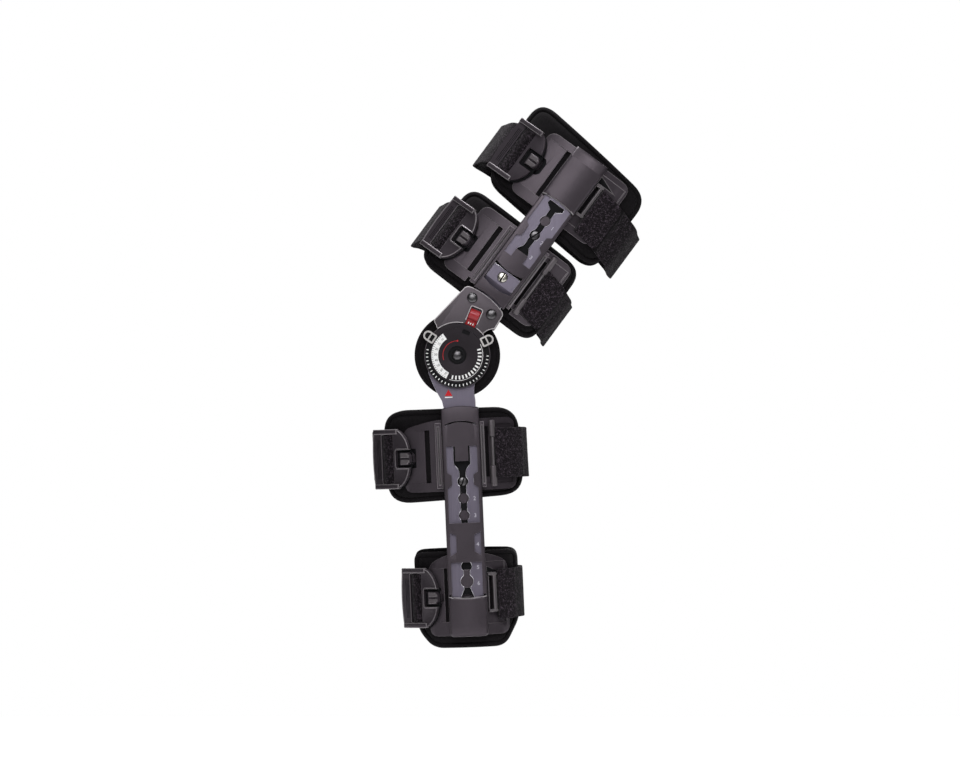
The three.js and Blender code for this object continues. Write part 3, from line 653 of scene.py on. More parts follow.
# straps: brushed loop, swept round the oval over pad and shell
strapShape = {
    "edge": 1.0, "across": 44, "pitch": 1.5, "fluff": 0.35, "fluffSize": 1.6,
    "stand": {"front": 4.0, "rear": 1.6},  # height over the oval between the pads
    "post": 3.6, "fold": 5, "tail": 5.0,  # from the slot, past the shell, round corner of the fold
    # painted shadow: a band of the near-black pad finish across the strap just past the fold's end
    "foldShadow": {"before": 0.4, "after": 2.6, "lift": 0.5},  # degrees either side of the fold's end
    "roll": {"half": 5.6, "rise": 4.4},  # where the front strap goes over the buckle's bar
}


def strapSection(width, thick):
    # closed section of a strap: (across, height), soft at both edges
    edge = strapShape["edge"]
    half = width / 2
    count = strapShape["across"]
    top = [(-half + edge + (width - 2 * edge) * k / count, thick) for k in range(count + 1)]
    right = [(half - edge + edge * math.sin(a), thick / 2 + thick / 2 * math.cos(a))
             for a in (0.6, 1.2, 1.571, 1.94, 2.54)]
    return top + right + [(x, 0) for x, _ in reversed(top[::2])] + [(-x, h) for x, h in reversed(right)]


def smoothstep(low, high, x):
    t = max(0.0, min(1.0, (x - low) / (high - low)))
    return t * t * (3 - 2 * t)


def strapHeight(cuff, side, turn, onShell):
    # over the shell, over the pad, then down inside
    oval = cuff["oval"]
    edge = "front" if side < 0 else "rear"
    shellEdge = abs(math.degrees(ovalAngle(oval, edgesOf(cuff["shell"]["corners"])[edge], padThick)))
    padEdge = abs(math.degrees(ovalAngle(oval, edgesOf(cuff["pad"]["corners"])[edge], padThick)))
    away = min(turn, 180 - turn)
    step = shellThick * (1 - smoothstep(shellEdge + 1, shellEdge + 9, away)) if onShell else 0
    high, low = padThick + 0.6 + step, strapShape["stand"][edge]
    return high + (low - high) * smoothstep(padEdge + 2, padEdge + 24, away)


def strapMiddle(cuff, side, turn):
    # in front it leaves the buckle at the buckle's height
    strap = cuff["strap"]
    sag = math.sin(math.radians(turn)) ** 2
    if side > 0 or turn > 90:
        return strap["middle"] - strap["dip"][0 if side < 0 else 1] * sag
    start = degreesAt(cuff, cuff["buckle"][0], padThick)
    share = smoothstep(start + 6, 92, turn)
    return cuff["buckle"][1] + (strap["middle"] - strap["dip"][0] - cuff["buckle"][1]) * share


def strapLean(cuff, side, turn):
    # how far the upper edge is drawn in at the rear, past the pads
    padEdge = degreesAt(cuff, edgesOf(cuff["pad"]["corners"])["rear"], padThick)
    lean = cuff["strap"].get("lean", 0) if side > 0 else 0
    return lean * smoothstep(padEdge + 2, 88, min(turn, 180 - turn))


def strapRings(cuff, side, start, end, lift=0.0, roll=None, tail=0.0):
    # rings of points from one end to the other, in degrees round the oval
    oval = cuff["oval"]
    reach = math.radians(end - start) * (oval["depth"] + oval["width"] + 20) / 2
    count = max(4, round(reach / strapShape["pitch"]))
    rings = []
    for k in range(count + 1):
        turn = start + (end - start) * k / count
        height = strapHeight(cuff, side, turn, side > 0 or turn > 90) + lift
        if roll:
            height += roll["rise"] * math.sqrt(max(0.0, 1 - ((turn - roll["middle"]) / roll["half"]) ** 2))
        middle = strapMiddle(cuff, side, turn)
        fromEnd = reach * (1 - k / count)
        narrow = tail - math.sqrt(max(0.0, tail ** 2 - (tail - fromEnd) ** 2)) if fromEnd < tail else 0.0
        section = strapSection(strapWide - 2 * narrow, strapThick)
        ring = [ovalPoint(oval, math.radians(side * turn), middle + x, height + h) for x, h in section]
        drawn = strapLean(cuff, side, turn)
        rings.append([(u - drawn * (0.5 + x / strapWide), v, w)
                      for (u, v, w), (x, h) in zip(ring, section)])
    ends = []
    for ring in (rings[0], rings[-1]):
        ends.append([tuple(sum(values) / len(ring) for values in zip(*ring))] * len(ring))
    return [ends[0], *rings, ends[1]], reach


def fluffed(piece):
    fluff = bpy.data.textures.get("fluff") or bpy.data.textures.new("fluff", "CLOUDS")
    fluff.noise_scale = strapShape["fluffSize"] * mm
    fluff.noise_depth = 2
    return applied(piece, "DISPLACE", texture=fluff, texture_coords="LOCAL", mid_level=0.5,
                   strength=strapShape["fluff"] * mm)


def makeStrap(name, cuff, runs, node):
    # one band for each finish: the strap, the fold on top of it and a painted shadow band just past the
    # fold's end
    bands, length = [], 0
    for finish, run in runs.items():
        rings, reach = strapRings(cuff, **run)
        bands.append(skin(f"{name}Band", rings))
        bands[-1].data.materials.append(finishes[finish])
        length += reach if finish != "foam_pad" else 0
    piece = joined(name, *bands) if len(bands) > 1 else bands[0]
    piece.name = name
    smooth(fluffed(piece), 80)
    seat(piece, cuff["limb"], cuff["body"], "loop_strap", [node])


def degreesAt(cuff, u, off):
    return abs(math.degrees(ovalAngle(cuff["oval"], u, off)))


for cuffName, cuff in cuffs.items():
    shellEdges = edgesOf(cuff["shell"]["corners"])
    window = cuff["buckle"][0] - 3.5  # middle of the buckle's strap window
    frontStart = degreesAt(cuff, shellEdges["front"] - 3, padThick)
    frontEnd = 180 - degreesAt(cuff, shellEdges["front"] + 14, padThick + shellThick)
    roll = {"middle": degreesAt(cuff, window, padThick + 4) + 0.5, **strapShape["roll"]}
    run = {"side": -1, "start": frontStart, "end": frontEnd, "roll": roll}
    makeStrap(f"{cuff['label']}StrapFront", cuff, {"loop_strap": run},
              f"{cuffName}_front_strap")
    post = cuff["rearSlot"]["across"][1] + strapShape["post"]
    rearStart = math.degrees(ovalAngle(cuff["oval"], post, padThick + shellThick))
    foldEnd = shellEdges["rear"] + strapShape["fold"]
    fold = math.degrees(ovalAngle(cuff["oval"], foldEnd, padThick + shellThick + strapThick))
    foldShadow = strapShape["foldShadow"]
    runs = {
        "loop_strap": {"start": rearStart, "end": 180 - rearStart},
        "loop_patch": {"start": rearStart, "end": fold, "lift": strapThick + 0.1, "tail": strapShape["tail"]},
        # painted shadow band past the fold's end, in the pad's near-black finish
        "foam_pad": {"start": fold - foldShadow["before"], "end": fold + foldShadow["after"], "lift": foldShadow["lift"]},
    }
    for run in runs.values():
        run["side"] = 1
    makeStrap(f"{cuff['label']}StrapRear", cuff, runs, f"{cuffName}_rear_strap")
print("straps done")

# shells: thin moulded wings each side of the bar, with flanges, sunk panels, slots and a strap post
shellShape = {
    "panel": 1.8, "edge": 0.45, "strip": 2.5, "barHalf": 19, "post": 3, "saddle": 9.5,
    "sleeveHigh": 11.8, "crown": 3.0, "hoodRound": 2.4, "hoodFit": 16.3, "lip": 0.8,
    "arch": 2.8, "archDeep": 14, "pocketUp": 55.3, "pocketDown": 35.3,
    "rail": {"front": 7, "rear": 0.4, "high": 3.6, "groove": 0.8, "floor": 1.6},
    # hood sections from its mouth: (distance in, drop of the top, drawn in at the sides)
    "hoodMouth": [(0, 0.9, 0), (0.4, 0.25, 0), (1.1, 0, 0), (5, 0, 0), (14, 0, 0), (30, 0, 0)],
    "hoodUp": [(48, 0, 0), (48.4, 0.2, 0), (55.6, 2.9, 0), (58.4, 4.4, 0), (58.8, 4.8, 0.2), (59, 5.6, 0.6)],
    "hoodDown": [(38, 0, 0), (39.2, 0.4, 0.4), (40.4, 1.4, 1.3), (41, 3, 3)],
}
buckleShape = {
    "front": -23, "bow": 5, "nose": 25.5, "shoulder": 5, "half": 30, "thick": 4, "lift": 0.4,
    "window": (-11.5, 3.5), "windowHalf": 24.5, "latch": 7, "latchHalf": 9,
    "rim": 0.9, "sunk": 0.7, "edge": 0.35, "slope": 0.2, "ridges": (-14, -16, -18), "ridgeLong": 40,
    "shadow": (-0.35, -0.05),
    "bars": {"across": (-23.5, 10), "along": (25, 30.1), "high": 5.0},
    "hook": {"across": (12, 25.5), "half": 6.3, "foot": -5.6, "high": 3.4,
             "ribs": (1.1, 5.6), "ribsFrom": 14.5},
    "well": [(4, -9.6), (26, -9.6), (29.6, -5), (29.6, 5), (26, 9.6), (4, 9.6)], "wellFloor": -5.4,
}
plateLayer, coverLayer, floorLayer = (2.8, 5.2), (5.5, 7.7), (0.3, 2.3)


def bucklePlace(cuff):
    # on the tangent of the shell at the buckle's middle
    oval, (middle, height) = cuff["oval"], cuff["buckle"]
    off = padThick + shellThick + buckleShape["lift"]
    angle = ovalAngle(oval, middle, off)
    slope = math.atan2((oval["width"] + off) * math.sin(angle), (oval["depth"] + off) * math.cos(angle))
    spot = Vector(ovalPoint(oval, angle, height, off)) * mm
    return Matrix.Translation(spot) @ Matrix.Rotation(slope, 4, "Y")


def paintedShade(piece):
    # painted shade: the faces a cut tool leaves take black ink, for the shade in hollows, grooves, slots and
    # wells
    piece.data.materials.append(finishes["black_ink"])
    return piece


def shellTop(cuff, u, off):
    return ovalPoint(cuff["oval"], ovalAngle(cuff["oval"], u, off), 0, off)[2]


def hoodSection(half, base, top):
    # one side up, over the crown and down the other side: (across, height)
    def crown(x):
        return top - shellShape["crown"] * (x / half) ** 2

    edge = shellShape["hoodRound"]
    flat, shoulder = half - edge, crown(half) - edge
    points = curveTo([(half, base), (half, shoulder)], (half, crown(half)), (flat, crown(flat)), 5)
    points += [(x, crown(x)) for x in (flat * (1 - k / 9) for k in range(1, 18))]
    points.append((-flat, crown(flat)))
    return curveTo(points, (-half, crown(half)), (-half, shoulder), 5) + [(-half, base)]


def saddleBase(cuff):
    # where the seat of the bar meets the curved shell
    bar, half = cuff["bar"], shellShape["barHalf"]
    return min(shellTop(cuff, u, shellShape["saddle"]) for u in (bar - half, bar + half))


def shellHood(cuff):
    # crowned sleeve over the end of the length plate, its mouth arched and its closed end sloped
    bar, face, (bottom, top) = cuff["bar"], cuff["face"], cuff["sleeve"]
    half, base = shellShape["barHalf"], saddleBase(cuff)
    mouth, way = (top, -1) if top < 0 else (bottom, 1)
    rings = []
    for far, drop, narrow in shellShape["hoodMouth"] + shellShape["hoodDown" if way < 0 else "hoodUp"]:
        arch = shellShape["arch"] * max(0.0, 1 - far / shellShape["archDeep"])
        section = hoodSection(half - narrow, base, face + shellShape["sleeveHigh"] - drop)
        rings.append([(bar + x, mouth + way * (far + arch * (1 - (x / half) ** 2)), z) for x, z in section])
    ends = []
    for ring in (rings[0], rings[-1]):
        ends.append([(bar, sum(point[1] for point in ring) / len(ring), face)] * len(ring))
    hood = skin("hood", [ends[0], *rings, ends[1]])
    hood.data.materials.append(finishes["moulded_plastic"])
    hood.data.materials.append(finishes["buckle_edge"])
    # painted highlight: the top faces along the mouth's lip take the light buckle finish
    for part in hood.data.polygons:
        x, y = part.center.x / mm - bar, (part.center.y / mm - mouth) * way
        arch = shellShape["arch"] * (1 - (x / half) ** 2) * (1 - y / shellShape["archDeep"])
        if part.center.z / mm > face + 6 and y - arch < shellShape["lip"]:
            part.material_index = 1
    fit, deep = shellShape["hoodFit"], shellShape["pocketUp" if way > 0 else "pocketDown"]
    along = sorted((mouth - way * 6, mouth + way * deep))
    # painted shade: the pocket's faces are black, for the shade inside the hood
    pocket = addBox("pocket", (bar - fit, bar + fit), along, face + 2.5, face + 5.5)
    return combine(hood, paintedShade(pocket), transfer=True)


def shellRails(cuff):
    # raised guide rails beside a channel, grooved along the middle
    bar, face = cuff["bar"], cuff["face"]
    edges = edgesOf(cuff["shell"]["corners"])
    half, shape = shellShape["barHalf"], shellShape["rail"]
    rearEnd = cuff["rearSlot"]["across"][0] - shape["rear"]
    rails = []
    for across in ((bar - half - shape["front"], bar - half - gap), (bar + half + gap, rearEnd)):
        base = min(shellTop(cuff, u, shellShape["saddle"]) for u in across)
        along = (edges["bottom"] + 3, edges["top"] - 3)
        rail = addBox("rail", across, along, base, face + shape["high"])
        middle = sum(across) / 2
        inside = (middle - shape["groove"], middle + shape["groove"])
        # painted shade: the groove along each rail is black inside
        groove = addBox("groove", inside, (along[0] + 4, along[1] - 4), face + shape["floor"], face + 9)
        combine(rail, paintedShade(groove), transfer=True)
        rails.append(roundEdges(rail, 0.6, 2, slot="moulded_plastic"))
    return rails


def panelCut(across, along, top):
    # sunk panel, level with the flange at its outer end and deepest at the slot
    cut = addBox("panel", across, along, top, top + 6)
    length = across[1] - across[0]

    def sunk(u, v, h):
        return u, v, h - shellShape["panel"] * (u - across[0]) / length if h < top + 1 else h

    return bent(cut, sunk)


def shellPlate(name, cuff):
    # the flat sheet of the shell, still unrolled
    edges = edgesOf(cuff["shell"]["corners"])
    front, rear = cuff["frontSlot"], cuff["rearSlot"]
    inner, outer = padThick + gap, padThick + shellThick
    plate = drawPlate(name, roundedOutline(**cuff["shell"]), inner, outer)
    combine(plate, panelCut((edges["front"] + 4, front["across"][1]), front["along"], outer))
    low = max(edges["bottom"] + 6, rear["along"][0] - 14)
    high = min(edges["top"] - 6, rear["along"][1] + 14)
    across = (rear["across"][0] - 2, edges["rear"] - 3)
    combine(plate, addBox("panel", across, (low, high), outer - 1.2, outer + 5))
    for slot in (front, rear):
        combine(plate, addBox("slot", slot["across"], slot["along"], inner - 3, outer + 5))
    for cut in cuff.get("passage", ()):
        along = (edges["bottom"] - 3, cut["top"])
        combine(plate, addBox("passage", cut["across"], along, inner - 3, outer + 5))
    if "corner" in cuff:
        corner = drawPlate("corner", cuff["corner"], inner + 0.6, outer + 5)
        # painted shade: the triangular recess at the corner is black inside
        combine(plate, paintedShade(corner), transfer=True)
    return plate


def shellTrims(cuff):
    # post that the rear strap loops round, with its frame or its thick ends
    edges, rear = edgesOf(cuff["shell"]["corners"]), cuff["rearSlot"]
    inner, outer = padThick + gap, padThick + shellThick
    left, right = rear["across"][1], rear["across"][1] + shellShape["post"]
    bottom, top = rear["along"]
    thin = (left, right) if "sleeve" in cuff else (left + 1.4, right + 0.4)
    # painted highlight: the post, its lugs and the pins take the lighter post finish
    post = addBox("post", thin, (bottom - 2, top + 2), inner, outer + 2.8)
    trims = [roundEdges(post, 0.8, 3, slot="post")]
    if "sleeve" in cuff:
        across = (rear["across"][0] - 1, right)
        surround = addBox("slotFrame", across, (bottom - 3, top + 3), inner + 1, outer + 1)
        combine(surround, addBox("slot", rear["across"], rear["along"], inner - 3, outer + 5))
        trims.append(roundEdges(surround, 0.4, 2, slot="moulded_plastic"))
        for along in ((bottom - 2.6, bottom), (top, top + 2.6)):
            lug = addBox("lug", (rear["across"][0] - 1, right + 0.6), along, inner + 1, outer + 3)
            trims.append(roundEdges(lug, 0.8, 3, slot="post"))
        return trims
    for along in ((edges["bottom"] + 3, cuff["pin"][0]), (cuff["pin"][1], edges["top"] - 2)):
        pin = addBox("pin", (left - 0.3, right + 2), along, outer - 1.4, outer + 4)
        pin.data.materials.append(finishes["post"])
        trims.append(roundEdges(pin, 2.1, 5))
    return trims


def shellHook(cuff):
    # the catch that the buckle hooks over: two finger ribs on a chamfered tongue
    hook = buckleShape["hook"]
    (near, far), half, high = hook["across"], hook["half"], hook["high"]
    outline = [(near, -half), (far - 3, -half), (far, 3 - half)]
    outline += [(far, half - 3), (far - 3, half), (near, half)]
    pieces = [roundEdges(drawPlate("hook", outline, hook["foot"], high), 0.5, 2)]
    pieces[0].data.materials.append(finishes["moulded_plastic"])
    low, wide = hook["ribs"]
    start, tip = hook["ribsFrom"], far - 0.6
    for side in (-1, 1):
        corners = [(start, side * low), (tip, side * low), (tip, side * (wide - 2.4)), (far - 3, side * wide),
                   (start, side * wide)]
        rib = drawPlate("rib", corners[::side], high - 0.5, high + 1.7)
        # painted highlight: the ribs take the lighter post finish
        pieces.append(roundEdges(rib, 0.4, 2, slot="post"))
    return placed(joined("hook", *pieces), bucklePlace(cuff))


def makeShell(name, cuff, node, outerSide):
    edges = edgesOf(cuff["shell"]["corners"])
    outer = padThick + shellThick
    plate = roundEdges(shellPlate(name, cuff), shellShape["edge"], 2, slot="moulded_plastic")
    trims = joined("trims", *shellTrims(cuff))
    beside = []
    for slot in ("frontSlot", "rearSlot"):
        near, far = cuff[slot]["across"]
        beside += [near - 0.8, far + 0.8]
    for sheet in (plate, trims):
        slices(sheet, steps(edges["front"], edges["rear"], shellShape["strip"]) + beside)
        wrapped(sheet, cuff["oval"], outer)
    bar, half = cuff["bar"], shellShape["barHalf"]
    foot = edges["bottom"] + 2 if "passage" not in cuff else cuff["passage"][0]["top"]
    along = (foot, edges["top"] - 2)
    saddle = addBox("saddle", (bar - half, bar + half), along, saddleBase(cuff), cuff["face"])
    others = [trims, roundEdges(saddle, 0.4, 2)]
    others += [shellHood(cuff)] if "sleeve" in cuff else shellRails(cuff)
    if outerSide:
        # painted shade: a black well sunk round the catch, for the shade in the notch
        well = drawPlate("well", buckleShape["well"], buckleShape["wellFloor"], 9)
        combine(plate, placed(paintedShade(well), bucklePlace(cuff)), transfer=True)
        others.append(shellHook(cuff))
    plate = smooth(joined(name, plate, *others))
    seat(plate, cuff["limb"], cuff["body"], "moulded_plastic", [node], not outerSide)


def notchOutline():
    # open notch in the nose of the D, for the catch
    shape = buckleShape
    edge, half, corner = shape["latch"], shape["latchHalf"], 2
    reach = shape["nose"] - shape["shoulder"]
    tip = shape["shoulder"] + reach * math.sqrt(1 - (half / shape["half"]) ** 2)
    points = curveTo([(tip, -half), (edge + corner, -half)], (edge, -half), (edge, corner - half), 4)
    return curveTo(points + [(edge, half - corner)], (edge, half), (edge + corner, half), 4) + [(tip, half)]


def buckleOutline():
    shape = buckleShape
    front, half, shoulder = shape["front"], shape["half"], shape["shoulder"]
    reach = shape["nose"] - shoulder
    turns = [math.radians(4 * k) for k in range(17)]
    arcs = [(shoulder + reach * math.sin(a), half * math.cos(a)) for a in turns]
    points = [(front, -half)] + [(x, -y) for x, y in arcs]
    points += notchOutline() + arcs[::-1] + [(front, half)]
    return curveTo(points, (front - shape["bow"], 0), (front, -half), 16)[:-1]


def dShadowOutline():
    # painted shadow: a black plate just under the D, shifted down, for the shade between the D and the shell,
    # seen in the notch and below the lower arc
    shape = buckleShape
    wide, half = shape["nose"] - shape["shoulder"] + 0.7, shape["half"] + 0.2
    turns = [math.radians(4 * k) for k in range(46)]
    return [(shape["shoulder"] + wide * math.sin(a), -half * math.cos(a) - 0.7) for a in turns]


def makeBuckle(name, cuff, node):
    # flat D with a raised rim, a strap window, end bars and a sloped, ridged grip
    shape = buckleShape
    buckle = drawPlate(name, buckleOutline(), 0, shape["thick"])
    for face in buckle.data.polygons:
        face.select = face.normal.z > 0.9
    use(buckle)
    bpy.ops.object.mode_set(mode="EDIT")
    bpy.ops.mesh.select_mode(type="FACE")
    bpy.ops.mesh.inset(thickness=shape["rim"] * mm)
    bpy.ops.mesh.inset(thickness=0.3 * mm, depth=-shape["sunk"] * mm)
    leaveEdit()
    for slot in ("moulded_plastic", "buckle_edge", "moulded_plastic_edge"):
        buckle.data.materials.append(finishes[slot])
    # painted highlight: the rim's top along the upper arc takes the light buckle finish, the lower arc stays
    # dark; the rounded edges take the moulded plastic's lighter copy
    for face in buckle.data.polygons:
        x, y, z = face.center / mm
        if z > shape["thick"] - 0.1 and x > 2 and y > shape["latchHalf"] + 0.6:
            face.material_index = 1
    reach = shape["windowHalf"]
    window = roundedOutline(rectangle(shape["window"], (-reach, reach)), 1.5, 4)
    combine(buckle, drawPlate("window", window, -2, 9))
    applied(buckle, "TRIANGULATE")
    roundEdges(buckle, shape["edge"], edge=2)
    bars, trims = shape["bars"], []
    for side in (-1, 1):
        along = sorted(side * edge for edge in bars["along"])
        bar = addBox("bar", bars["across"], along, 0.8, bars["high"])
        trims.append(roundEdges(bar, 0.9, 3, slot="moulded_plastic"))
    long, top = shape["ridgeLong"] / 2, shape["thick"] - shape["sunk"]
    # painted shade: the grip's grooves are black inside
    for x in shape["ridges"]:
        groove = addBox("groove", (x - 0.35, x + 0.35), (-long, long), top - 0.4, top + 3)
        combine(buckle, paintedShade(groove), transfer=True)
    # painted shadow: a black plate just under the D
    trims.append(paintedShade(drawPlate("shadowGap", dShadowOutline(), *shape["shadow"])))
    buckle = joined(name, buckle, *trims)
    slices(buckle, steps(shape["front"] - shape["bow"], shape["window"][0], 2))
    edge = shape["window"][0]

    def sloped(x, y, z):
        return x, y, z - max(0.0, edge - x) * shape["slope"] * max(0.0, z / shape["thick"])

    bent(buckle, sloped)
    smooth(placed(buckle, bucklePlace(cuff)))
    seat(buckle, cuff["limb"], cuff["body"], "moulded_plastic", [node])


for cuffName, cuff in cuffs.items():
    makeShell(f"{cuff['label']}ShellOuter", cuff, f"{cuffName}_shell_lateral", True)
    makeShell(f"{cuff['label']}ShellInner", cuff, f"{cuffName}_shell_medial", False)
    makeBuckle(f"{cuff['label']}Buckle", cuff, f"{cuffName}_buckle")
print("shells and buckles done")

# uprights: moulded channels with windows over the slotted length plates
channelShape = {"half": 19, "fit": 16.3, "crown": 1.3, "round": 1.2, "edge": 0.35, "light": 15.5}
plateShape = {"half": 16, "radius": 5.2, "neck": 3, "edge": 0.45}
uprights = {
    "thigh": {
        "limb": "thigh", "body": "thigh", "middle": -9, "face": 79, "along": (67, 180), "floor": 85,
        "arch": (64.8, 69.2, 63.6), "bow": (16.5, 79, 76, 100.5, 97.75),
        "tab": (112, 190, 121, 7, (135, 147)),
        "plate": {
            "body": "upper_cuff", "along": (100, 236), "lowest": (142.5, 5.2),
            "first": 160, "pitch": 17.5, "count": 1,
            "foot": [(101.8, 6.5), (122.5, 6.5), (128, 3)], "head": [(172.5, 3), (176.5, 9), (180.5, 9)],
        },
        "button": 142.5, "floors": [160], "numbers": [(1.2, 158), (1.2, 140), (1.2, 122)],
    },
    "calf": {
        "limb": "calf", "body": "shank", "middle": 0, "face": 72, "along": (-240, -51), "floor": -240,
        "arch": (-53.5, -48, -53.5), "bow": (16.5, -70.9, -67.2, -69.3, -65.6),
        "tab": (-91, -168, -106, 6.5, (-130, -120)), "foot": (-246, -207.5),
        "sides": [(9, -180), (9, -197), (15.5, -201), (15.5, -177)],
        "plate": {
            "body": "lower_cuff", "along": (-276, -69), "lowest": (-226.5, 6.3),
            "first": -211.5, "pitch": 17, "count": 6,
            "foot": [(-247, 8), (-240, 5.5), (-234, 3)],
            "head": [(-118, 3), (-116, 3.2), (-113.5, 4.2), (-111, 6.2), (-109, 8), (-76, 8)],
        },
        "button": -126.5, "floors": [-143.5, -160.5],
        "numbers": [(11, -126), (11, -144), (11, -161), (12.3, -190), (11.5, -213), (11.5, -229)],
    },
}


def tabWindow(middle, near, far, tip, tabHalf, lips):
    # window with a finger tab at its near end and a lug on each side
    half, reach = channelShape["light"], channelShape["light"] - 4.5
    lips = lips if far > near else lips[::-1]
    lead = 3 if far > near else -3
    lug = [(half, lips[0] - lead), (reach, lips[0]), (reach, lips[1]), (half, lips[1] + lead)]
    right = [(tabHalf, tip), (tabHalf, near), (half, near), *lug, (half, far)]
    return [(middle + x, y) for x, y in right] + [(middle - x, y) for x, y in reversed(right)]


def bowWindow(middle, half, low, lowMiddle, high, highMiddle):
    points = curveTo([(middle - half, low)], (middle, 2 * lowMiddle - low), (middle + half, low), 16)
    points.append((middle + half, high))
    return curveTo(points, (middle, 2 * highMiddle - high), (middle - half, high), 16)


def channelWindows(upright):
    middle, half = upright["middle"], channelShape["light"]
    windows = [bowWindow(middle, *upright["bow"]), tabWindow(middle, *upright["tab"])]
    if "sides" in upright:
        windows += [[(side * x, y) for x, y in upright["sides"]] for side in (-1, 1)]
        windows.append(rectangle((middle - half, middle + half), upright["foot"]))
    return windows


def channelBody(name, upright, windows):
    # one moulding: floor, rails and crowned cover, hollow for the plate
    middle, face, (bottom, top) = upright["middle"], upright["face"], upright["along"]
    half, fit = channelShape["half"], channelShape["fit"]
    left, right = middle - half, middle + half
    start, peak, end = upright["arch"]
    if upright["limb"] == "thigh":
        points = curveTo([(left, start)], (middle, peak), (right, end), 16) + [(right, top), (left, top)]
    else:
        points = curveTo([(right, start)], (middle, peak), (left, end), 16)
        points += [(left, bottom), (right, bottom)]
    body = drawPlate(name, points, face + floorLayer[0], face + coverLayer[1])
    roundEdges(body, channelShape["round"], 4, 60)
    ends = (min(bottom, 60) - 9, top + 9)
    # painted shade: the tunnel for the plate is black inside, seen through the windows
    tunnel = addBox("tunnel", (middle - fit, middle + fit), ends, face + 2.45, face + 5.4)
    combine(body, paintedShade(tunnel), transfer=True)
    if upright["floor"] > bottom:
        along = (ends[0], upright["floor"])
        combine(body, addBox("mouth", (middle - fit, middle + fit), along, face - 3, face + 3))
    for window in windows:
        combine(body, drawPlate("window", window, face + 4, face + 20))
    roundEdges(body, channelShape["edge"], 2, 50, slot="moulded_plastic")
    slices(body, steps(left, right, 2.4))

    def crown(u, v, w):
        rise = channelShape["crown"] * (1 - ((u - middle) / half) ** 2)
        return u, v, w + max(0.0, rise) * max(0.0, min(1.0, (w - face - 5.6) / 1.2))

    return bent(body, crown)


def slotOutline(middle, plate):
    seats = [plate["lowest"]]
    seats += [(plate["first"] + k * plate["pitch"], plateShape["radius"]) for k in range(plate["count"])]
    points = [(middle + half, v) for v, half in plate["foot"]]
    for height, radius in seats:
        opening = math.degrees(math.asin(plateShape["neck"] / radius))
        points += arc((middle, height), radius, opening - 90, 90 - opening, 20)
    points += [(middle + half, v) for v, half in plate["head"]]
    points += [(middle - half, v) for v, half in reversed(plate["head"])]
    for height, radius in reversed(seats):
        opening = math.degrees(math.asin(plateShape["neck"] / radius))
        points += arc((middle, height), radius, 90 + opening, 270 - opening, 20)
    return points + [(middle - half, v) for v, half in reversed(plate["foot"])]


def plateBody(name, upright, slotted):
    middle, face, plate = upright["middle"], upright["face"], upright["plate"]
    half = plateShape["half"]
    corners = rectangle((middle - half, middle + half), plate["along"])
    body = drawPlate(name, roundedOutline(corners, 1.5, 4), face + plateLayer[0], face + plateLayer[1])
    if slotted:
        combine(body, drawPlate("slot", slotOutline(middle, plate), face - 1, face + 12))
    return smooth(roundEdges(body, plateShape["edge"], 2, 40, slot="bar_metal"))


def addText(name, text, size, place, height, rise=0.07):
    bpy.ops.object.select_all(action="DESELECT")
    bpy.ops.object.text_add()
    piece = bpy.context.object
    piece.data.body = text
    piece.data.size = size * mm
    piece.data.align_x = "CENTER"
    piece.data.align_y = "CENTER"
    piece.data.extrude = rise * mm
    piece.data.resolution_u = 4
    bpy.ops.object.convert(target="MESH")
    piece = newest(name)
    return faceOut(placed(piece, Matrix.Translation(Vector((*place, height)) * mm)))


def screwHead(name, spot, radius, foot, top, rise, slot=None):
    # domed head, plain or with a slot across it
    profile = [(0, foot), (radius, foot), (radius, top - 0.5), (radius * 0.93, top)]
    profile += [(radius * 0.93 * math.cos(a), top + rise * math.sin(a)) for a in (0.3, 0.6, 0.9, 1.2)]
    head = turnedPiece(name, profile + [(0, top + rise)], 48, spot)
    if slot:
        bed = top + rise - slot["deep"]
        # painted shade: the slot's faces are black
        cut = paintedShade(addBox("cut", (-radius - 1, radius + 1), (-0.75, 0.75), bed, top + 9))
        turn = Matrix.Rotation(math.radians(slot["turn"]), 4, "Z")
        head.data.materials.append(finishes[slot["finish"]])
        combine(head, placed(cut, Matrix.Translation(Vector((*spot, 0)) * mm) @ turn), transfer=True)
        roundEdges(head, 0.15, 1, 50)
    return smooth(head, 40)


for limb, upright in uprights.items():
    middle, face, plate = upright["middle"], upright["face"], upright["plate"]
    channel = channelBody(f"{limb}Channel", upright, channelWindows(upright))
    combine(channel, addDrum("seat", (middle, upright["button"]), 5.2, face - 3, face + 3.2))
    seat(smooth(channel), limb, upright["body"], "moulded_plastic", [f"{limb}_channel"])
    seat(plateBody(f"{limb}Plate", upright, True), limb, plate["body"], "bar_metal", [f"{limb}_plate"])
    inner = plateBody(f"{limb}PlateInner", upright, False)
    seat(inner, limb, plate["body"], "bar_metal", [f"medial_{limb}_plate"], True)
    cross = {"deep": 0.9, "turn": 70, "finish": "rivet_steel"}
    spot = (middle, upright["button"])
    button = screwHead(f"{limb}LockButton", spot, 4.8, foot=face + 0.5, top=face + 2.6, rise=1.0, slot=cross)
    seat(button, limb, upright["body"], "rivet_steel", [f"{limb}_lock_button"])
    floors = [addDrum("floor", (middle, v), 5, face + 2.3, face + 2.7, 32) for v in upright["floors"]]
    seatFloor = roundEdges(joined(f"{limb}SeatFloor", *floors), 0.1, 1, 40)
    seat(seatFloor, limb, upright["body"], "moulded_plastic")
    marks = []
    for k, spot in enumerate(upright["numbers"]):
        marks.append(addText("mark", str(k + 1), 5.6, spot, face + plateLayer[1]))
    seat(joined(f"{limb}PlateNumbers", *marks), limb, plate["body"], "mark_ink")
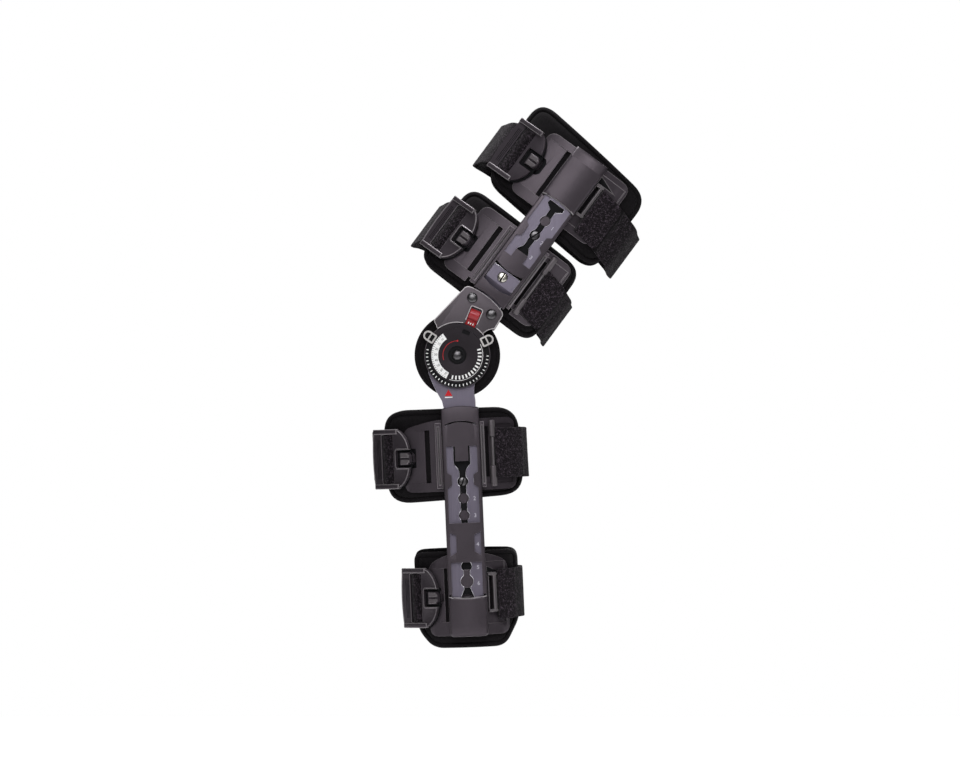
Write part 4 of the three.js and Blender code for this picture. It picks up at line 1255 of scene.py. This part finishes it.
# tongue of the lowest cuff, seen through the plate's lowest seat
face = uprights["calf"]["face"] + plateLayer[0]
tongue = addBox("calfPlateTongue", (-7.5, 7.5), (-233, -215), face + 0.1, face + 1.2)
seat(roundEdges(tongue, 0.4, 2, slot="moulded_plastic"), "calf", "lower_cuff", "moulded_plastic")
print("uprights done")


# bars between the uprights and the hinge
barShape = {
    "low": 74.8, "thick": 2.4, "pivot": 4.4,
    "thigh": {"half": 16, "along": (44, 97), "joggle": (68.5, 82), "drop": 7, "screw": (-10, 89.5)},
    "calf": {"half": 16, "end": -66, "eye": 29.4, "right": [-46, (13.5, -33), (19, -22)],
             "left": [(-30, -15.5), (-25.5, -31), (-17.5, -45), -52]},
}


def thighBarBody(name):
    bar, middle = barShape["thigh"], uprights["thigh"]["middle"]
    low = barShape["low"] + bar["drop"]
    across = (middle - bar["half"], middle + bar["half"])
    body = drawPlate(name, rectangle(across, bar["along"]), low, low + barShape["thick"])
    roundEdges(body, 0.4, 2, slot="bar_metal")
    slices(body, bar["joggle"], (0, 1, 0))
    start, end = bar["joggle"]

    def joggled(u, v, w):
        return u, v, w - bar["drop"] * max(0.0, min(1.0, (end - v) / (end - start)))

    return bent(body, joggled)


def calfBarBody(name):
    # straight foot that flares into the eye round the pivot
    bar, low, high = barShape["calf"], barShape["low"], barShape["low"] + barShape["thick"]
    half = bar["half"]
    points = [(-half, bar["end"]), (half, bar["end"]), (half, bar["right"][0])]
    points = curveTo(points, *bar["right"][1:], 10) + [(0, 0), bar["left"][0]]
    points = curveTo(points, *bar["left"][1:3], 10) + [(-half, bar["left"][3])]
    body = drawPlate(name, points, low, high)
    combine(body, addDrum("eye", (0, 0), bar["eye"], low, high, 96), "UNION")
    combine(body, addDrum("bore", (0, 0), barShape["pivot"], 60, 100, 32))
    return roundEdges(body, 0.45, 2, 40, slot="bar_metal")


seat(smooth(thighBarBody("thighBar")), "thigh", "thigh", "bar_metal", ["thigh_bar"])
seat(smooth(calfBarBody("calfBar")), "calf", "shank", "bar_metal", ["calf_bar"])
cross = {"deep": 1.2, "turn": 96, "finish": "bright_steel"}
screw = screwHead("thighBarScrew", barShape["thigh"]["screw"], 5.3, foot=84.4, top=85.4, rise=1.2, slot=cross)
seat(screw, "thigh", "thigh", "rivet_steel", ["thigh_bar_screw"])
top = barShape["low"] + barShape["thick"]
pointer = drawPlate("calfPointer", [(-10.5, -34), (-14.3, -40.3), (-6.7, -40.3)], top, top + 0.15)
seat(pointer, "calf", "shank", "red_ink")
line = addBox("calfPointerLine", (-14.3, -6.7), (-42.2, -41.2), top, top + 0.15)
seat(line, "calf", "shank", "white_ink")
print("bars done")

# hinge: head plate, dial, stops, lock slider and the round pads beside it
hinge = {
    "pad": (54, 74.3), "padRadius": 43, "base": (77.5, 81.5), "head": 83.2, "rim": (81.8, 83), "top": 84.2,
    "radius": 33, "dial": 32.2, "step": 27, "bore": 4.4, "rivets": [(-22, 55), (3, 53)],
    "slider": {"angle": 103.5, "width": 10.6, "slot": (22.5, 51), "knob": (38.6, 49), "tail": (31, 49),
               "rise": 3.8, "barrel": (3.2, 5.5)},
    "window": {"place": (-6.5, 23.5), "turn": 14, "half": (4, 2)},
    "stops": {"front": 182.5, "rear": 63},
}
headPoints = curveTo([(-40, 14), (-34.5, 59)], (-33.5, 62.5), (-29, 63.5), 6)
headPoints = curveTo(headPoints, (-10, 68), (10, 62), 16)
headPoints = curveTo(headPoints, (13.5, 60), (13.5, 57), 6)
headPoints = curveTo(headPoints + [(14.5, 43)], (8.5, 39), (8, 31), 10) + [(0, 0), (-31, 9)]


def sector(inner, outer, start, end):
    count = max(2, round(abs(end - start) / 3))
    return arc((0, 0), outer, start, end, count) + arc((0, 0), inner, end, start, count)


def onHead(piece, slot, *replaced):
    return seat(piece, "thigh", "thigh", slot, replaced)


def turnedTo(piece, angle):
    return placed(piece, Matrix.Rotation(math.radians(angle), 4, "Z"))


def headFrames(half):
    # low raised lines round the slider's slot and round the dial, in the hinge plastic's lighter copy:
    # painted highlights
    top, slider = hinge["head"] - 0.1, hinge["slider"]
    far, near = slider["slot"][1], hinge["dial"] + 2.6
    outside = roundedOutline(rectangle((near, far + 1), (-half - 1, half + 1)), 2.4, 5)
    line = drawPlate("line", outside, top, top + 0.45)
    inside = rectangle((near - 4, far + 0.2), (-half - 0.2, half + 0.2))
    combine(line, drawPlate("inside", roundedOutline(inside, 1.7, 5), top - 1, top + 2))
    lines = [turnedTo(line, slider["angle"])]
    for start, end in ((74, 91), (116, 163)):
        ring = sector(hinge["dial"] + 0.5, hinge["dial"] + 1.3, start, end)
        lines.append(drawPlate("ring", ring, top, top + 0.45))
    for piece in lines:
        piece.data.materials.append(finishes["hinge_plastic_edge"])
    return lines


def headBody(name, outerSide):
    body = drawPlate(name, headPoints, hinge["base"][0], hinge["head"])
    roundEdges(body, 0.9, 3, 25, slot="hinge_plastic")
    combine(body, addDrum("disc", (0, 0), hinge["radius"], *hinge["base"], 96), "UNION")
    combine(body, addDrum("bore", (0, 0), hinge["bore"], 60, 100, 32))
    if outerSide:
        combine(body, addDrum("recess", (0, 0), hinge["dial"] + 0.4, hinge["base"][1], 100, 96))
        slider = hinge["slider"]
        half = slider["width"] / 2 + 0.4
        slot = roundedOutline(rectangle(slider["slot"], (-half, half)), 1.6, 5)
        combine(body, turnedTo(drawPlate("slot", slot, hinge["base"][0] + 1.7, 100), slider["angle"]))
        body = joined(name, body, *headFrames(half))
    return body


def dashes(name, radii, wide, angles, low, high):
    pieces = [turnedTo(addBox("dash", radii, (-wide / 2, wide / 2), low, high), angle) for angle in angles]
    return joined(name, *pieces)


# round pads: a knitted cover over foam, with a sewn rim
def condylePad(name, node, mirror):
    low, high = hinge["pad"]
    radius = hinge["padRadius"]
    under = [(14, 0), (9, 0.7), (4, 3), (1.3, 6.5), (0, 10)]
    over = [(0, 6), (0.4, 3.6), (1.6, 2.2), (3.2, 2), (4, 2.6), (4.7, 1.9), (7, 0.7), (11, 0.2)]
    profile = [(0, low), *((radius - inset, low + rise) for inset, rise in under)]
    profile += [*((radius - inset, high - drop) for inset, drop in over), (0, high)]
    pad = smooth(turnedPiece(name, profile, 128), 80)
    seat(pad, "thigh", "thigh", "foam_pad", [node], mirror)


condylePad("condylePadOuter", "condyle_pad_lateral", False)
condylePad("condylePadInner", "condyle_pad_medial", True)

onHead(smooth(headBody("hingeHead", True)), "hinge_plastic", "hinge_head")
for rivetName, spot in zip(("front", "rear"), hinge["rivets"]):
    rivet = screwHead(f"{rivetName}Rivet", spot, 5.3, hinge["head"] + 0.1, hinge["head"] + 0.8, rise=1.7)
    onHead(rivet, "rivet_steel", f"rivet_{rivetName}")
pivot = screwHead("hingePivot", (0, 0), 5.0, hinge["rim"][1] - 0.1, hinge["rim"][1] + 0.6, rise=1.6)
onHead(pivot, "rivet_steel", "hinge_pivot")

# dial: stepped disc with a dished middle
rimLow, rimTop = hinge["rim"]
dialTop, dialRadius, dialStep = hinge["top"], hinge["dial"], hinge["step"]
dial = turnedPiece("hingeDial", [
    (4.4, rimLow), (dialRadius, rimLow), (dialRadius, rimTop - 0.35), (dialRadius - 0.35, rimTop),
    (dialStep + 0.5, rimTop), (dialStep + 0.1, rimTop + 0.2), (dialStep, dialTop - 0.3),
    (dialStep - 0.3, dialTop), (9.8, dialTop), (9.1, dialTop - 0.2), (8.6, dialTop - 0.7),
    (8.4, rimTop - 0.2), (4.4, rimTop - 0.2)], 128)
mark = hinge["window"]
wide, tall = mark["half"]
cut = addBox("window", (-wide, wide), (-tall, tall), rimLow + 0.6, 100)
spot = Matrix.Translation((mark["place"][0] * mm, mark["place"][1] * mm, 0))
spot = spot @ Matrix.Rotation(math.radians(mark["turn"]), 4, "Z")
combine(dial, placed(cut, spot))
for slotName in ("dial_plastic", "black_ink"):
    dial.data.materials.append(finishes[slotName])
for face in dial.data.polygons:
    # the ring under the ticks and the dished middle are darker
    reach, angle = face.center.xy.length / mm, math.degrees(math.atan2(face.center.y, face.center.x)) % 360
    face.material_index = 1 if reach < 9 or reach > dialStep + 0.4 and not 60 < angle < 188 else 0
onHead(smooth(dial), "dial_plastic", "hinge_dial")
# painted shade: a black pane sunk in the dial's window, for the shade inside it
pane = addBox("dialWindowShade", (-3.9, 3.9), (-1.9, 1.9), rimLow + 0.6, rimLow + 1.2)
onHead(placed(pane, spot), "black_ink")

# dial printing: plain scales, each at (inner, outer) radii and angles in degrees
scale = {
    "rise": 0.14, "sunk": 0.02,
    "ticks": {"radii": (29.2, 31.4), "wide": 0.8, "angles": range(206, 402, 7)},
    "label": (19.2, 25.9, 160, 281),
    "labelTicks": {"radii": (24.2, 25.7), "wide": 0.45, "angles": range(166, 278, 5)},
    "number": {"size": 3.3, "place": (-21.6, 0), "count": 8, "first": -10, "pitch": 15},
    "ladder": {"radii": (20.6, 24.4), "wide": 1.5, "angles": range(-66, 58, 9)},
    "ladderLine": (25.3, 25.75, -72, 62),
    "redLine": (14.2, 14.6, 128, 236), "redDot": {"middle": (14.4, 0), "radius": 0.9, "angle": 126},
}
under, over = dialTop - scale["sunk"], dialTop + scale["rise"]
ticks = dashes("dialTicks", low=rimTop - scale["sunk"], high=rimTop + scale["rise"], **scale["ticks"])
onHead(ticks, "white_ink")
label = drawPlate("dialLabel", sector(*scale["label"]), under, over)
onHead(label, "white_ink")
labelMarks = dashes("labelTicks", low=over - scale["sunk"], high=over + 0.06, **scale["labelTicks"])
numbers, number = [], scale["number"]
for k in range(number["count"]):
    numeral = addText("number", str(10 * k), number["size"], number["place"], over, rise=0.05)
    numbers.append(turnedTo(numeral, number["pitch"] * k + number["first"]))
onHead(joined("labelMarks", labelMarks, *numbers), "black_ink")
ladder = dashes("dialLadder", low=under, high=over, **scale["ladder"])
line = drawPlate("ladderLine", sector(*scale["ladderLine"]), under, over)
onHead(joined("dialLadder", ladder, line), "white_ink")
redLine = drawPlate("dialRedLine", sector(*scale["redLine"]), under, over)
dot = scale["redDot"]
redDot = turnedTo(addDrum("redDot", dot["middle"], dot["radius"], under, over, 24), dot["angle"])
onHead(joined("dialRedLine", redLine, redDot), "red_ink")

# lock slider: a barrel for the thumb on a flat tail
slider = hinge["slider"]
half = slider["width"] / 2
foot = hinge["base"][0] + 2
knob = addBox("knob", slider["knob"], (-half, half), foot, hinge["head"] + slider["rise"])
slices(knob, steps(*slider["knob"], 0.8))
middle = sum(slider["knob"]) / 2
drop, reach = slider["barrel"]
bent(knob, lambda x, y, z: (x, y, z - drop * ((x - middle) / reach) ** 2 if z > hinge["head"] else z))
roundEdges(knob, 1.0, 4, 40)
tail = roundEdges(addBox("tail", slider["tail"], (-half, half), foot, foot + 1.6), 0.3, 2)
lockSlider = smooth(turnedTo(joined("lockSlider", knob, tail), slider["angle"]), 45)
seat(lockSlider, "thigh", "lock_slider", "red_plastic", ["lock_slider"])
specks = []
for y in (-2.4, 0, 2.4):
    specks.append(addBox("speck", (33.4, 35.4), (y - 0.5, y + 0.5), foot + 1.58, foot + 1.7))
seat(turnedTo(joined("sliderMarks", *specks), slider["angle"]), "thigh", "lock_slider", "white_ink")

# stops: bright loops that clip over the rim, dark inside
stopShape = {
    "across": (27, 35), "half": 5, "corner": 1.8, "wall": 1.7, "bar": (32.4, 33.9), "claw": (33.2, 37.5),
}


def stopHoles(grow, low, high):
    # the two openings of the loop, either side of its cross bar
    (near, far), half = stopShape["across"], stopShape["half"] - stopShape["wall"] + grow
    inside, outside = stopShape["bar"][0] + grow, stopShape["bar"][1] - grow
    box = addBox("hole", (near + stopShape["wall"] - grow, inside), (-half, half), low, high)
    bow = arc((far, 0), half, -90, 90, 20) + [(outside, half), (outside, -half)]
    return [box, drawPlate("hole", bow, low, high)]


for stopName, angle in hinge["stops"].items():
    (near, far), half, corner = stopShape["across"], stopShape["half"], stopShape["corner"]
    bed = hinge["top"] + 0.4
    points = curveTo([(near, half - corner)], (near, half), (near + corner, half), 4)
    points += arc((far, 0), half, 90, -90, 24)
    points = curveTo(points + [(near + corner, -half)], (near, -half), (near, corner - half), 4)
    loop = drawPlate(f"{stopName}Stop", points, rimTop + 0.3, hinge["top"] + 2)
    claw = addBox("claw", stopShape["claw"], (-4, 4), hinge["base"][0] + 1.5, hinge["top"] + 1)
    combine(loop, claw, "UNION")
    for hole in stopHoles(0, bed, 100):
        combine(loop, hole)
    roundEdges(loop, 0.45, 2, 40)
    seat(smooth(turnedTo(loop, angle)), "thigh", f"{stopName}_stop", "clip_plastic", [f"{stopName}_stop"])
    fill = joined(f"{stopName}StopFill", *stopHoles(0.1, bed - 0.4, bed + 0.2))
    seat(turnedTo(fill, angle), "thigh", f"{stopName}_stop", "black_ink")

# inner side: the same uprights, plain
innerThigh = joined("thighUprightInner", headBody("head", False), thighBarBody("bar"),
                    channelBody("channel", uprights["thigh"], []))
seat(smooth(innerThigh), "thigh", "thigh", "bar_metal", ["medial_thigh_upright"], True)
innerCalf = joined("calfUprightInner", calfBarBody("bar"), channelBody("channel", uprights["calf"], []))
seat(smooth(innerCalf), "calf", "shank", "bar_metal", ["medial_calf_upright"], True)
innerPivot = screwHead("pivotInner", (0, 0), 5.2, hinge["head"] + 0.1, hinge["head"] + 0.8, rise=1.7)
seat(innerPivot, "thigh", "thigh", "rivet_steel", ["medial_pivot"], True)
print("hinge done")
